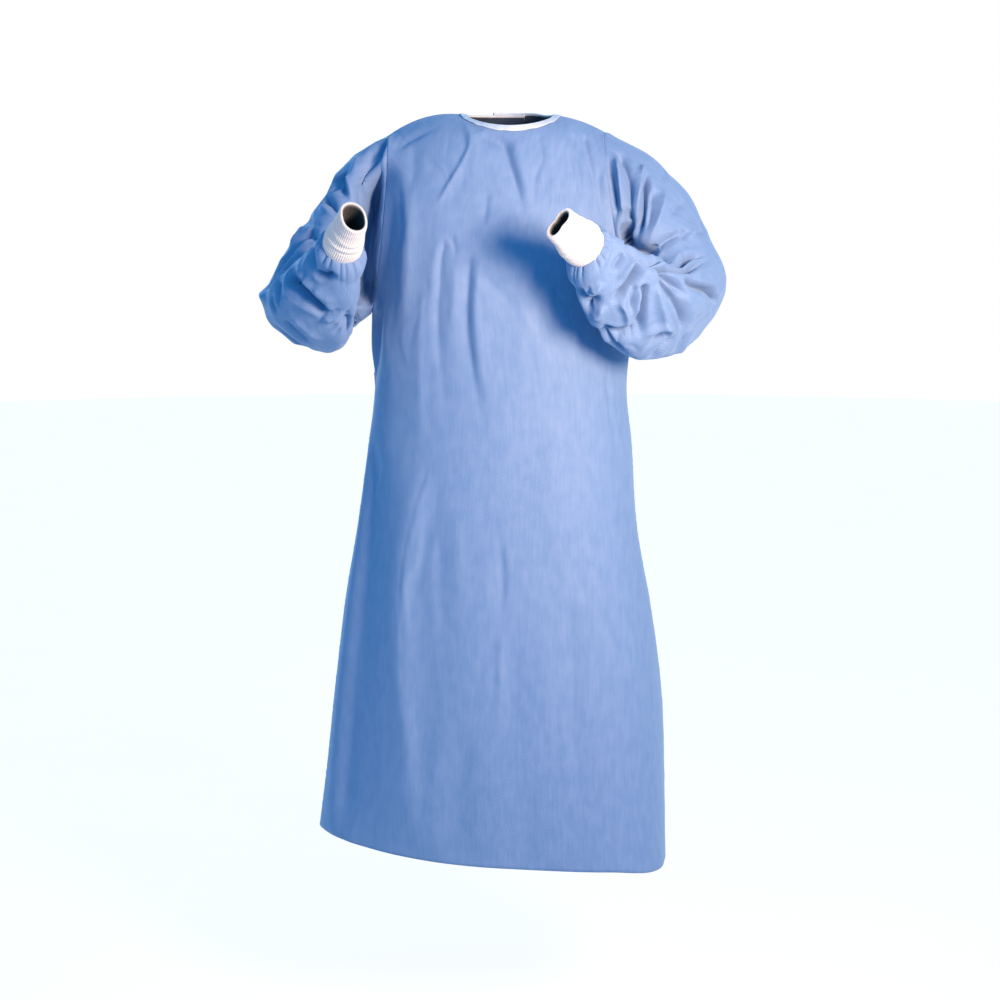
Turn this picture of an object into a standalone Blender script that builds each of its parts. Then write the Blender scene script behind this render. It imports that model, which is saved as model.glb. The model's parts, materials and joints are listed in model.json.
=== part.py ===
"""A disposable surgical gown in the shape it has when worn, with nobody inside it.

The gown is cut from thin nonwoven cloth: one front, two overlapping back panels and two set-in
sleeves.  A folded tape binds the neck, a knitted cuff closes each wrist, and two waist ties are
knotted over the back opening.  Every piece is a closed wall of its own thickness, and neighbours
stay a seam's gap apart.

Metres, +Z up, the front faces -Y.  The origin is the centre of the neck opening, level with the
two points where the shoulder seams meet the neck.  Left and right are the wearer's: left is +X.
"""

import math

import bmesh
import bpy
import numpy as np

# ----- Driving dimensions, in metres -------------------------------------------------------------

CLOTH = 0.0012          # body and sleeve cloth
KNIT = 0.0020           # cuff knit
TAPE = 0.0010           # one leaf of the neck tape, and a waist tie
SEAM_GAP = 0.0004       # clear space between two sewn edges
ARMHOLE_GAP = 0.0008    # the same where a sleeve is set in, because its edges meet at an angle
LAID_GAP = 0.0005       # clear space under what lies on a panel

NECK_TAPE_WIDTH = 0.0100
TIE_TOP = -0.4075       # heights of the two edges of the waist ties
TIE_BOTTOM = -0.4325

CUFF_WRINKLES = 3.5
CUFF_WRINKLE_HEIGHT = 0.0009
GATHER_COUNT = 7        # gathers where a sleeve runs into its cuff
GATHER_HEIGHT = 0.0030
GATHER_RINGS = ((-2, 1.0), (-3, 0.6))   # rings of the sleeve that they shape, and by what share

KNOT_HALF_WIDTH = 0.017
KNOT_HALF_HEIGHT = 0.011
KNOT_HALF_DEPTH = 0.0050
KNOT_LIFT = 0.0058      # the knot's middle, above the under back panel
KNOT_COLUMN = 6.4       # and its place across that panel
KNOT_SQUARENESS = 0.75  # below 1, the knot's outline has fuller corners than an oval
KNOT_FULLNESS = 0.60    # below 1, its sides stand steeper than a ball's

# ----- How finely the surfaces are cut -----------------------------------------------------------

FRONT_COLUMNS = 24
BACK_COLUMNS = 12
ARMHOLE_STEPS = 14      # rows of the body between shoulder point and underarm
SLEEVE_SIDES = 2 * ARMHOLE_STEPS
RINGS_PER_STATION = 2
CUFF_RINGS = 10
CUFF_SIDES = 24
KNOT_RINGS = 6
KNOT_SIDES = 16
LINE_SAMPLES = 40       # points on a fine line, before it is cut into columns
SHOULDER_ROWS = (0.0, 0.42, 0.71)
SKIRT_ROWS = (-0.345, -0.377, TIE_TOP, TIE_BOTTOM, -0.470, -0.515, -0.565, -0.620, -0.680,
              -0.745, -0.815, -0.885, -0.955, -1.025, -1.095, -1.163)

FRONT, BACK = -1.0, 1.0
LEFT, RIGHT = 1.0, -1.0


def table(columns, *rows):
    """A small table: one named column of numbers for each word in columns."""
    numbers = np.array(rows, float)
    return {name: numbers[:, place] for place, name in enumerate(columns.split())}


# The two ends of each shoulder seam and the foot of each armhole, with the bulge of the seams.
SEAM_POINTS = {
    RIGHT: dict(neck=(-0.0685, 0.000, 0.000), tip=(-0.193, 0.005, -0.031),
                pit=(-0.2215, 0.010, -0.310), rise=0.0135, bow=0.007),
    LEFT: dict(neck=(0.0685, 0.000, 0.000), tip=(0.150, 0.005, -0.026),
               pit=(0.1950, 0.010, -0.315), rise=0.0050, bow=-0.012),
}
FRONT_SCOOP = 0.085     # how far each armhole bulges to the front and to the back
BACK_SCOOP = 0.092

# Centre front and centre back, from neck (row 0) by shoulder point (row 1) to underarm (row 2).
YOKE = table("row front_y front_z back_y back_z",
             (0.00, -0.0700, -0.0215, 0.0700, 0.0035),
             (0.50, -0.0880, -0.0520, 0.0930, -0.0290),
             (1.00, -0.1040, -0.0850, 0.1160, -0.0610),
             (1.50, -0.1320, -0.1980, 0.1360, -0.1800),
             (2.00, -0.1375, -0.3200, 0.1400, -0.3170))

# Which way the cloth leaves the seams: towards the middle, towards the front or back, and down.
HEADING = table("row inward forward front_down back_down",
                (0.00, 0.00, 1.00, 0.25, 0.02),
                (0.80, 0.15, 0.97, 0.20, 0.10),
                (1.00, 0.62, 0.78, 0.12, 0.10),
                (1.20, 0.90, 0.42, 0.10, 0.08),
                (1.50, 0.88, 0.47, 0.05, 0.05),
                (1.80, 0.60, 0.62, 0.46, 0.46),
                (2.00, 0.03, 0.93, 0.62, 0.62),
                (2.20, 0.00, 0.98, 0.22, 0.22),
                (2.40, 0.00, 1.00, 0.00, 0.00))
ROWS_PER_METRE = 5.0    # how fast the heading turns level below the underarm
SEAM_PULL = 0.50        # how far the cloth keeps that heading, as a share of its way to the middle
MIDDLE_PULL = 0.50

# Level sections of the skirt.  The last four columns round or square each side of a section.
SKIRT = table("z right left front back right_side right_front left_side left_front",
              (-0.312, -0.2215, 0.1950, -0.1370, 0.1390, 0.50, 0.55, 0.55, 0.55),
              (-0.370, -0.2220, 0.1925, -0.1350, 0.1350, 0.50, 0.55, 0.60, 0.58),
              (-0.420, -0.2160, 0.1870, -0.1320, 0.1310, 0.50, 0.55, 0.62, 0.60),
              (-0.516, -0.2265, 0.1960, -0.1420, 0.1410, 0.48, 0.58, 0.66, 0.62),
              (-0.646, -0.2445, 0.2050, -0.1580, 0.1580, 0.44, 0.60, 0.72, 0.66),
              (-0.778, -0.2665, 0.2285, -0.1720, 0.1720, 0.40, 0.62, 0.76, 0.68),
              (-0.910, -0.2815, 0.2455, -0.1840, 0.1840, 0.36, 0.64, 0.80, 0.72),
              (-1.043, -0.2960, 0.2505, -0.1940, 0.1930, 0.30, 0.66, 0.84, 0.78),
              (-1.163, -0.3120, 0.2530, -0.2020, 0.2000, 0.22, 0.68, 0.90, 0.86))
SIDE_SEAM_Y = 0.010
HEM_TILT = 0.052        # how much lower the hem runs for each metre towards the wearer's left
TILT_START = -0.45
TILT_END = SKIRT_ROWS[-1]

# Half of the strip where the back panels lie over each other, and how far out the upper one is.
OVERLAP = table("z half_width lift",
                (-1.165, 0.085, 0.0038),
                (-0.420, 0.055, 0.0034),
                (-0.100, 0.032, 0.0036),
                (-0.045, 0.027, 0.0058),
                (0.010, 0.025, 0.0058))
LIFT_RUN = 0.050        # how far the upper panel takes to rise on to the under one
FOLD_RUN = 0.035        # how soon a fold is at its full depth, away from a seam
FOLD_END_DEPTH = 0.35   # share of a fold's depth left at its two ends

# Four lines that run down each sleeve: over the arm, in the crook, under the arm, at the elbow.
ARM_LINES = ("over", "crook", "under", "elbow")
ARM_COLUMNS = ("over_x over_y over_z crook_x crook_y crook_z "
               "under_x under_y under_z elbow_x elbow_y elbow_z")
SLEEVE_LINES = {
    RIGHT: table(
        ARM_COLUMNS,
        (-0.256, 0.010, -0.069, -0.232, -0.092, -0.175, -0.234, 0.010, -0.325, -0.235, 0.100, -0.170),
        (-0.299, 0.010, -0.132, -0.258, -0.097, -0.195, -0.247, 0.014, -0.335, -0.273, 0.094, -0.213),
        (-0.342, 0.000, -0.196, -0.274, -0.094, -0.212, -0.254, 0.014, -0.335, -0.315, 0.085, -0.268),
        (-0.376, -0.040, -0.258, -0.281, -0.100, -0.221, -0.262, -0.005, -0.330, -0.360, 0.042, -0.324),
        (-0.377, -0.088, -0.283, -0.281, -0.112, -0.222, -0.255, -0.038, -0.330, -0.341, -0.012, -0.355),
        (-0.355, -0.135, -0.282, -0.277, -0.128, -0.216, -0.240, -0.080, -0.328, -0.310, -0.070, -0.366),
        (-0.330, -0.172, -0.268, -0.270, -0.158, -0.204, -0.226, -0.122, -0.308, -0.271, -0.132, -0.352),
        (-0.302, -0.208, -0.244, -0.262, -0.192, -0.190, -0.216, -0.168, -0.268, -0.248, -0.186, -0.310)),
    LEFT: table(
        ARM_COLUMNS,
        (0.228, 0.005, -0.069, 0.193, -0.095, -0.165, 0.208, 0.010, -0.325, 0.212, 0.100, -0.170),
        (0.285, 0.000, -0.131, 0.213, -0.106, -0.192, 0.223, 0.012, -0.335, 0.258, 0.095, -0.208),
        (0.316, -0.015, -0.195, 0.222, -0.112, -0.211, 0.236, 0.008, -0.338, 0.294, 0.080, -0.260),
        (0.327, -0.052, -0.230, 0.226, -0.119, -0.221, 0.242, -0.012, -0.335, 0.316, 0.035, -0.318),
        (0.311, -0.105, -0.258, 0.224, -0.131, -0.225, 0.231, -0.055, -0.337, 0.296, -0.022, -0.350),
        (0.284, -0.158, -0.268, 0.217, -0.147, -0.223, 0.209, -0.090, -0.332, 0.254, -0.088, -0.372),
        (0.245, -0.205, -0.264, 0.196, -0.176, -0.213, 0.176, -0.128, -0.318, 0.206, -0.150, -0.374),
        (0.198, -0.243, -0.256, 0.168, -0.208, -0.199, 0.142, -0.166, -0.290, 0.157, -0.198, -0.353),
        (0.155, -0.266, -0.238, 0.143, -0.238, -0.188, 0.112, -0.208, -0.256, 0.114, -0.236, -0.298)),
}

# Each knitted cuff: middle of its sewn end, middle of its mouth, radii, and how flat the mouth is.
CUFFS = {
    RIGHT: dict(base=(-0.2494, -0.240, -0.2094), mouth=(-0.2279, -0.292, -0.1667),
                base_radius=0.0280, mouth_radius=0.0215, flatness=1.0),
    LEFT: dict(base=(0.1102, -0.260, -0.2111), mouth=(0.0685, -0.307, -0.1757),
               base_radius=0.0300, mouth_radius=0.0200, flatness=1.30),
}

# Long soft folds: start and end on the panel (x, z), half width, and depth (below zero sinks in).
PANEL_FOLD_COLUMNS = "x_from z_from x_to z_to half_width depth"
FRONT_FOLDS = table(PANEL_FOLD_COLUMNS,
                    (-0.072, -0.045, -0.108, -0.135, 0.014, -0.0060),
                    (-0.018, -0.047, 0.002, -0.125, 0.016, -0.0050),
                    (-0.113, -0.215, -0.100, -0.470, 0.018, -0.0080),
                    (-0.070, -0.225, -0.045, -0.570, 0.018, -0.0090),
                    (-0.137, -0.320, -0.137, -0.570, 0.020, 0.0060),
                    (-0.090, -0.240, -0.082, -0.520, 0.014, 0.0040),
                    (-0.146, -0.610, -0.156, -0.960, 0.026, -0.0070),
                    (-0.018, -0.700, -0.018, -0.950, 0.022, -0.0050),
                    (0.092, -0.760, 0.095, -1.090, 0.028, -0.0060),
                    (0.150, -0.390, 0.165, -0.700, 0.022, -0.0060),
                    (-0.215, -0.560, -0.262, -1.120, 0.024, -0.0080))
BACK_FOLDS = table(PANEL_FOLD_COLUMNS,
                   (-0.090, -0.100, -0.150, -0.330, 0.022, -0.0070),
                   (0.085, -0.110, 0.135, -0.340, 0.022, -0.0070),
                   (-0.155, -0.480, -0.175, -1.100, 0.026, -0.0110),
                   (0.110, -0.480, 0.140, -1.120, 0.026, -0.0110),
                   (-0.195, -0.560, -0.235, -1.000, 0.024, 0.0070),
                   (0.165, -0.540, 0.185, -1.060, 0.024, 0.0070))

# Sleeve folds run from one (station, turn) to another; turn is a fraction of the way round.
SLEEVE_FOLD_COLUMNS = "station_from turn_from station_to turn_to half_width depth"
SLEEVE_FOLDS = {
    RIGHT: table(SLEEVE_FOLD_COLUMNS,
                 (0.7, 0.08, 3.2, 0.14, 0.013, -0.0080),
                 (1.2, 0.19, 3.6, 0.21, 0.012, -0.0080),
                 (4.1, 0.24, 4.3, 0.06, 0.011, -0.0100),
                 (5.0, 0.26, 5.8, 0.93, 0.013, -0.0110),
                 (4.6, 0.12, 6.6, 0.88, 0.014, -0.0070),
                 (4.2, 0.30, 4.4, 0.62, 0.013, -0.0090),
                 (1.0, 0.70, 4.0, 0.78, 0.016, -0.0090),
                 (5.2, 0.62, 7.4, 0.72, 0.014, -0.0070)),
    LEFT: table(SLEEVE_FOLD_COLUMNS,
                (0.8, 0.11, 3.3, 0.20, 0.012, -0.0090),
                (1.2, 0.21, 3.6, 0.25, 0.012, -0.0090),
                (3.4, 0.24, 3.1, 0.04, 0.010, -0.0110),
                (4.1, 0.25, 4.0, 0.02, 0.011, -0.0120),
                (4.9, 0.24, 5.4, 0.95, 0.012, -0.0110),
                (5.7, 0.22, 6.8, 0.90, 0.013, -0.0110),
                (6.5, 0.20, 7.9, 0.95, 0.012, -0.0090),
                (4.3, 0.30, 4.5, 0.62, 0.013, -0.0090),
                (1.0, 0.70, 4.0, 0.78, 0.016, -0.0090)),
}
SLEEVE_HEAD_RUN = 1.2   # stations over which the folds fade in from the armhole
SLEEVE_WRIST_RUN = 1.5

# Waist ties: places across the back panels, how far each edge is from the middle of the tie as a
# share of the row spacing, and the height above the panel.
RIGHT_TIE = table("column half_share lift",
                  (11.80, 0.50, LAID_GAP),
                  (11.00, 0.50, LAID_GAP),
                  (10.00, 0.50, 0.0006),
                  (9.00, 0.49, 0.0012),
                  (8.00, 0.46, 0.0028))
LEFT_TIE_SEWN = table("column half_share lift",
                      (11.20, 0.50, LAID_GAP),
                      (12.00, 0.50, LAID_GAP))
LEFT_TIE_FREE = table("column half_share lift",
                      (5.00, 0.46, 0.0046))
KNOT_TIE_SHARE = 0.34   # the ties narrow to this where they run into the knot
KNOT_TIE_LIFT = 0.0052

# The free ends, below the knot: row of the panel, distance across from the knot, half width, height.
TAILS = {
    "left": table("row across half_width lift",
                  (21.965, -0.0080, 0.0068, 0.0052),
                  (22.40, -0.0105, 0.0080, 0.0052),
                  (23.00, -0.0150, 0.0110, 0.0048),
                  (24.00, -0.0190, 0.0125, 0.0036),
                  (25.00, -0.0200, 0.0125, 0.0030),
                  (26.00, -0.0190, 0.0125, 0.0034),
                  (26.80, -0.0185, 0.0125, 0.0040)),
    "right": table("row across half_width lift",
                   (21.965, 0.0080, 0.0068, 0.0052),
                   (22.40, 0.0110, 0.0080, 0.0052),
                   (23.00, 0.0170, 0.0110, 0.0046),
                   (24.00, 0.0240, 0.0125, 0.0032),
                   (25.00, 0.0300, 0.0125, 0.0030),
                   (26.00, 0.0340, 0.0125, 0.0036),
                   (27.30, 0.0360, 0.0125, 0.0044)),
}

# Points of a strip's profile that face each other through its thickness.
TAPE_ACROSS = ((0, 9), (1, 8), (2, 8), (3, 7), (4, 7), (5, 6))
BAND_ACROSS = ((0, 3), (1, 2))

# ----- Finishes ----------------------------------------------------------------------------------

FINISHES = {
    "nonwoven": dict(colour=(0.105, 0.280, 0.660), roughness=0.62, metallic=0.0),
    "knit": dict(colour=(0.820, 0.835, 0.860), roughness=0.90, metallic=0.0),
    "tape": dict(colour=(0.780, 0.815, 0.870), roughness=0.70, metallic=0.0),
}
SMOOTH_ANGLE = math.radians(50.0)


# ----- Small tools -------------------------------------------------------------------------------

def unit(vectors):
    """Vectors scaled to length one, along the last axis."""
    length = np.linalg.norm(vectors, axis=-1, keepdims=True)
    return vectors / np.maximum(length, 1e-12)


def ease(value):
    """A soft step from 0 to 1."""
    value = np.clip(value, 0.0, 1.0)
    return value * value * (3.0 - 2.0 * value)


def smooth(keys, values, at):
    """A smooth curve through (keys, values), read at one place or several."""
    keys = np.asarray(keys, float)
    values = np.asarray(values, float)
    if keys[0] > keys[-1]:
        keys, values = keys[::-1], values[::-1]
    slopes = np.gradient(values, keys, axis=0)
    at = np.clip(at, keys[0], keys[-1])
    low = np.clip(np.searchsorted(keys, at, side="right") - 1, 0, len(keys) - 2)
    step = keys[low + 1] - keys[low]
    part = (at - keys[low]) / step
    if values.ndim > 1 and np.ndim(at) > 0:
        step, part = step[:, None], part[:, None]
    return ((1.0 + 2.0 * part) * (1.0 - part) ** 2 * values[low]
            + part * (1.0 - part) ** 2 * step * slopes[low]
            + part ** 2 * (3.0 - 2.0 * part) * values[low + 1]
            - part ** 2 * (1.0 - part) * step * slopes[low + 1])


def quarter(start, heading, start_pull, end, end_pull):
    """One side of a body row: a Bezier arc from the seam to the middle, which it meets level."""
    reach = end - start
    start_handle = start + heading * start_pull * float(np.abs(heading) @ np.abs(reach))
    end_handle = end - np.array((reach[0], 0.0, 0.0)) * end_pull
    part = np.linspace(0.0, 1.0, LINE_SAMPLES)[:, None]
    return ((1.0 - part) ** 3 * start + 3.0 * part * (1.0 - part) ** 2 * start_handle
            + 3.0 * part ** 2 * (1.0 - part) * end_handle + part ** 3 * end)


def spread(line, count, start=0.0, stop=1.0):
    """Points at even distances on a line, between two fractions of its length."""
    steps = np.linalg.norm(np.diff(line, axis=0), axis=1)
    along = np.concatenate(([0.0], np.cumsum(steps)))
    wanted = np.linspace(start, stop, count) * along[-1]
    return np.stack([np.interp(wanted, along, line[:, axis]) for axis in range(3)], axis=1)


def line_length(line):
    """Length of a line of points."""
    return float(np.linalg.norm(np.diff(line, axis=0), axis=1).sum())


def table_rows(columns):
    """The rows of a table, each a dictionary of its named values."""
    count = len(next(iter(columns.values())))
    return [{name: float(values[row]) for name, values in columns.items()} for row in range(count)]


# ----- Body rows ---------------------------------------------------------------------------------

def yoke_seam_point(side, face, row):
    """A point of the shoulder seam (row 0 to 1) or of the armhole (row 1 to 2)."""
    seam = SEAM_POINTS[side]
    neck, tip, pit = (np.array(seam[name]) for name in ("neck", "tip", "pit"))
    if row <= 1.0:
        return neck + (tip - neck) * row + np.array((0.0, 0.0, 4.0 * seam["rise"] * row * (1.0 - row)))
    turn = math.pi * (row - 1.0)
    scoop = FRONT_SCOOP if face == FRONT else BACK_SCOOP
    point = tip + (pit - tip) * (1.0 - math.cos(turn)) / 2.0
    return point + np.array((seam["bow"], face * scoop, 0.0)) * math.sin(turn)


def heading(side, face, row):
    """The way in which the cloth leaves the seam at a row."""
    names = ("inward", "forward", "front_down" if face == FRONT else "back_down")
    inward, forward, down = (smooth(HEADING["row"], HEADING[name], row) for name in names)
    return np.array((-side * inward, face * forward, -down))


def yoke_row(face, row):
    """A fine line of points from seam to seam above the underarm, right to left."""
    name = "front" if face == FRONT else "back"
    middle = np.array([0.0] + [smooth(YOKE["row"], YOKE[f"{name}_{axis}"], row) for axis in "yz"])
    halves = [quarter(yoke_seam_point(side, face, row), heading(side, face, row), SEAM_PULL,
                      middle, MIDDLE_PULL) for side in (RIGHT, LEFT)]
    return np.concatenate((halves[0], halves[1][-2::-1]))


def skirt_row(face, z):
    """A fine line of points from side seam to side seam below the underarm, right to left."""
    values = {name: float(smooth(SKIRT["z"], SKIRT[name], z)) for name in SKIRT if name != "z"}
    middle = np.array((0.0, values["front" if face == FRONT else "back"], z))
    below = 2.0 + (SEAM_POINTS[RIGHT]["pit"][2] - z) * ROWS_PER_METRE
    halves = []
    for side, name in ((RIGHT, "right"), (LEFT, "left")):
        seam = np.array((values[name], SIDE_SEAM_Y, z))
        way = heading(side, face, min(below, HEADING["row"][-1]))
        halves.append(quarter(seam, way, values[name + "_side"], middle, values[name + "_front"]))
    line = np.concatenate((halves[0], halves[1][-2::-1]))
    tilt = HEM_TILT * float(ease((z - TILT_START) / (TILT_END - TILT_START)))
    line[:, 2] -= tilt * line[:, 0]
    return line


def body_lines(face):
    """Every row of one face of the body, from neck to hem."""
    yoke = list(SHOULDER_ROWS) + [1.0 + step / ARMHOLE_STEPS for step in range(ARMHOLE_STEPS + 1)]
    return [yoke_row(face, row) for row in yoke] + [skirt_row(face, z) for z in SKIRT_ROWS]


def with_tape_row(grid):
    """The grid with one more row, along the lower edge of the neck tape."""
    row = grid[0] + unit(grid[1] - grid[0]) * NECK_TAPE_WIDTH
    return np.concatenate((grid[:1], row[None], grid[1:]))


TIP_ROW = len(SHOULDER_ROWS) + 1
PIT_ROW = TIP_ROW + ARMHOLE_STEPS
TIE_ROW = PIT_ROW + 1 + SKIRT_ROWS.index(TIE_TOP)


# ----- Sleeves -----------------------------------------------------------------------------------

def cuff_frame(side):
    """Base, mouth, axis, and the two cross directions (over the arm, and towards the crook)."""
    cuff = CUFFS[side]
    base, mouth = np.array(cuff["base"]), np.array(cuff["mouth"])
    axis = unit(mouth - base)
    crook = unit(np.array((0.0, 0.0, 1.0)) - axis * axis[2])
    return base, mouth, axis, -side * np.cross(axis, crook), crook


def sleeve_stations(side, armhole):
    """Closed rings of points: the armhole, one for each row of the sleeve's table, and the wrist."""
    turns = np.linspace(0.0, 2.0 * math.pi, SLEEVE_SIDES, endpoint=False)[:, None]
    rings = [armhole]
    for row in table_rows(SLEEVE_LINES[side]):
        over, crook, under, elbow = (np.array([row[f"{name}_{axis}"] for axis in "xyz"])
                                     for name in ARM_LINES)
        middle = (over + crook + under + elbow) / 4.0
        oval = (over + under - crook - elbow) / 4.0
        rings.append(middle + (over - under) / 2.0 * np.cos(turns)
                     + (crook - elbow) / 2.0 * np.sin(turns) + oval * np.cos(2.0 * turns))
    base, _, _, over, crook = cuff_frame(side)
    rings.append(base + CUFFS[side]["base_radius"] * (over * np.cos(turns) + crook * np.sin(turns)))
    return np.array(rings)


def sleeve_route(stations, fold):
    """The line of one sleeve fold, by the shorter way round the sleeve."""
    turn_to = fold["turn_to"] - round(fold["turn_to"] - fold["turn_from"])
    route = []
    for part in np.linspace(0.0, 1.0, LINE_SAMPLES):
        station = fold["station_from"] + (fold["station_to"] - fold["station_from"]) * part
        ring = smooth(np.arange(len(stations)), stations, station)
        place = (fold["turn_from"] + (turn_to - fold["turn_from"]) * part) % 1.0 * SLEEVE_SIDES
        low = int(place) % SLEEVE_SIDES
        route.append(ring[low] + (ring[(low + 1) % SLEEVE_SIDES] - ring[low]) * (place - int(place)))
    return np.array(route)


def sleeve_grid(side, armhole):
    """Rings of the sleeve with its folds pressed in and its end gathered on to the cuff."""
    stations = sleeve_stations(side, armhole)
    last = len(stations) - 1
    places = np.linspace(0.0, last, last * RINGS_PER_STATION + 1)
    grid = np.array([smooth(np.arange(last + 1), stations, place) for place in places])
    push = sum(fold_profile(grid, sleeve_route(stations, fold), fold["half_width"], fold["depth"])
               for fold in table_rows(SLEEVE_FOLDS[side]))
    fade = np.minimum(ease(places / SLEEVE_HEAD_RUN), ease((last - places) / SLEEVE_WRIST_RUN))
    push = push * fade[:, None]
    turns = np.linspace(0.0, 2.0 * math.pi, SLEEVE_SIDES, endpoint=False)
    for ring, share in GATHER_RINGS:
        push[ring] += share * GATHER_HEIGHT * np.cos(GATHER_COUNT * turns)
    return grid + surface_normals(grid, closed=True) * push[..., None]


# ----- Surfaces ----------------------------------------------------------------------------------

def surface_normals(grid, closed=False):
    """Unit normals of a grid of points, pointing out of the garment."""
    down = np.gradient(grid, axis=0)
    if closed:
        across = (np.roll(grid, -1, axis=1) - np.roll(grid, 1, axis=1)) / 2.0
        outward = grid - grid.mean(axis=1, keepdims=True)
    else:
        across = np.gradient(grid, axis=1)
        outward = grid * np.array((1.0, 1.0, 0.0))
    normals = unit(np.cross(down, across))
    return normals * np.sign((normals * outward).sum())


def fold_profile(grid, route, half_width, depth):
    """Depth of one fold at each point of a grid: full on its route, less sideways and at its ends."""
    flat = grid.reshape(-1, grid.shape[-1])
    gaps = np.linalg.norm(flat[:, None, :] - route[None, :, :], axis=2)
    part = gaps.argmin(axis=1) / (len(route) - 1.0)
    along = FOLD_END_DEPTH + (1.0 - FOLD_END_DEPTH) * np.sin(math.pi * part)
    return (depth * along * np.exp(-(gaps.min(axis=1) / half_width) ** 2)).reshape(grid.shape[:-1])


def press_panel_folds(grid, folds, fade):
    """Moves a panel's points in or out along its long folds, seen from the front or back."""
    view = grid[..., (0, 2)]
    part = np.linspace(0.0, 1.0, LINE_SAMPLES)[:, None]
    push = np.zeros(grid.shape[:2])
    for fold in table_rows(folds):
        start = np.array((fold["x_from"], fold["z_from"]))
        stop = np.array((fold["x_to"], fold["z_to"]))
        push += fold_profile(view, start + (stop - start) * part, fold["half_width"], fold["depth"])
    return grid + surface_normals(grid) * (push * fade)[..., None]


def seam_fade(grid, seams):
    """Zero on the named seam columns and under the neck tape, rising to one a short way in."""
    steps = np.linalg.norm(np.diff(grid, axis=1), axis=2)
    along = np.concatenate((np.zeros((len(grid), 1)), np.cumsum(steps, axis=1)), axis=1)
    reach = np.min([along if column == 0 else along[:, -1:] - along for column in seams], axis=0)
    below_tape = np.maximum(np.arange(len(grid)) - 1.0, 0.0)[:, None]
    return ease(reach / FOLD_RUN) * ease(below_tape / 2.0)


def share_normals(groups):
    """Gives the points that meet at a seam one common normal.  A group lists (normals, index)."""
    for group in groups:
        common = unit(sum(normals[index] for normals, index in group))
        for normals, index in group:
            normals[index] = common


def seam_shift(points, normals, towards, gap, closed=False):
    """Half a seam's gap, square to the seam and to the cloth, on the side of a given direction."""
    if closed:
        along = np.roll(points, -1, axis=0) - np.roll(points, 1, axis=0)
    else:
        along = np.gradient(points, axis=0)
    away = unit(np.cross(along, normals))
    return away * np.sign(away @ np.array(towards))[:, None] * gap / 2.0


def above_panel(grid, normals, row, column, lift):
    """A point at a height above a panel, at any place between its rows and columns."""
    top = min(int(row), grid.shape[0] - 2)
    left = min(int(column), grid.shape[1] - 2)
    down, across = row - top, column - left
    blended = [(1.0 - down) * ((1.0 - across) * field[top, left] + across * field[top, left + 1])
               + down * ((1.0 - across) * field[top + 1, left] + across * field[top + 1, left + 1])
               for field in (grid, normals)]
    return blended[0] + unit(blended[1]) * lift


# ----- Meshes ------------------------------------------------------------------------------------

def finish(name):
    """The Principled material of one finish, made once."""
    material = bpy.data.materials.get(name)
    if material is None:
        material = bpy.data.materials.new(name)
        material.use_nodes = True
        look = FINISHES[name]
        shader = material.node_tree.nodes["Principled BSDF"]
        shader.inputs["Base Color"].default_value = (*look["colour"], 1.0)
        shader.inputs["Roughness"].default_value = look["roughness"]
        shader.inputs["Metallic"].default_value = look["metallic"]
    return material


def add_object(name, points, faces, finish_name):
    """One closed mesh object with every face pointing out."""
    mesh = bpy.data.meshes.new(name)
    mesh.from_pydata(np.asarray(points, float).tolist(), [], faces)
    shell = bmesh.new()
    shell.from_mesh(mesh)
    bmesh.ops.recalc_face_normals(shell, faces=shell.faces)
    shell.to_mesh(mesh)
    shell.free()
    mesh.shade_smooth()
    mesh.set_sharp_from_angle(angle=SMOOTH_ANGLE)
    mesh.materials.append(finish(finish_name))
    piece = bpy.data.objects.new(name, mesh)
    bpy.context.scene.collection.objects.link(piece)


def quad(first, second, third, fourth):
    """Two triangles, split from the first corner to the third."""
    return [(first, second, third), (first, third, fourth)]


def sheet_faces(rows, columns, offset, closed):
    """Triangles over a grid of points."""
    faces = []
    for row in range(rows - 1):
        for column in range(columns if closed else columns - 1):
            beside = (column + 1) % columns
            here = offset + row * columns
            faces += quad(here + column, here + beside, here + columns + beside, here + columns + column)
    return faces


def edge_faces(line, size):
    """Triangles that close a wall between its outer and inner points, along a line of points."""
    faces = []
    for here, beside in zip(line[:-1], line[1:]):
        faces += quad(here, beside, size + beside, size + here)
    return faces


def add_wall(name, outer, inner, finish_name, closed=False):
    """A wall of cloth between an outer and an inner grid: an open sheet, or a tube if closed."""
    rows, columns = outer.shape[:2]
    size = rows * columns
    index = np.arange(size).reshape(rows, columns)
    lines = [index[0], index[-1]]
    if closed:
        lines = [np.append(line, line[0]) for line in lines]
    else:
        lines += [index[:, 0], index[:, -1]]
    faces = sheet_faces(rows, columns, 0, closed) + sheet_faces(rows, columns, size, closed)
    for line in lines:
        faces += edge_faces(line.tolist(), size)
    add_object(name, np.concatenate((outer.reshape(-1, 3), inner.reshape(-1, 3))), faces, finish_name)


def add_strip(name, profile, finish_name, across, rising=()):
    """A closed profile (points, stations, 3) carried along its stations, with flat ends.

    Each pair in across names two points that face each other through the strip, from one end of
    the profile to the other.  The sides named in rising run up the cloth, so they are split the
    other way: all the facets of the strip then lie along those of the wall it is laid on.
    """
    sides, stations = profile.shape[:2]
    faces = []
    for station in range(stations - 1):
        here = station * sides
        for side in range(sides):
            beside = (side + 1) % sides
            corners = (here + side, here + beside, here + sides + beside, here + sides + side)
            faces += quad(*corners[1:], corners[0]) if side in rising else quad(*corners)
    for start in (0, (stations - 1) * sides):
        for (first, facing), (second, next_facing) in zip(across[:-1], across[1:]):
            corners = [start + corner for corner in dict.fromkeys((first, second, next_facing, facing))]
            faces += quad(*corners) if len(corners) == 4 else [tuple(corners)]
    add_object(name, profile.transpose(1, 0, 2).reshape(-1, 3), faces, finish_name)


# ----- The garment -------------------------------------------------------------------------------

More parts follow.
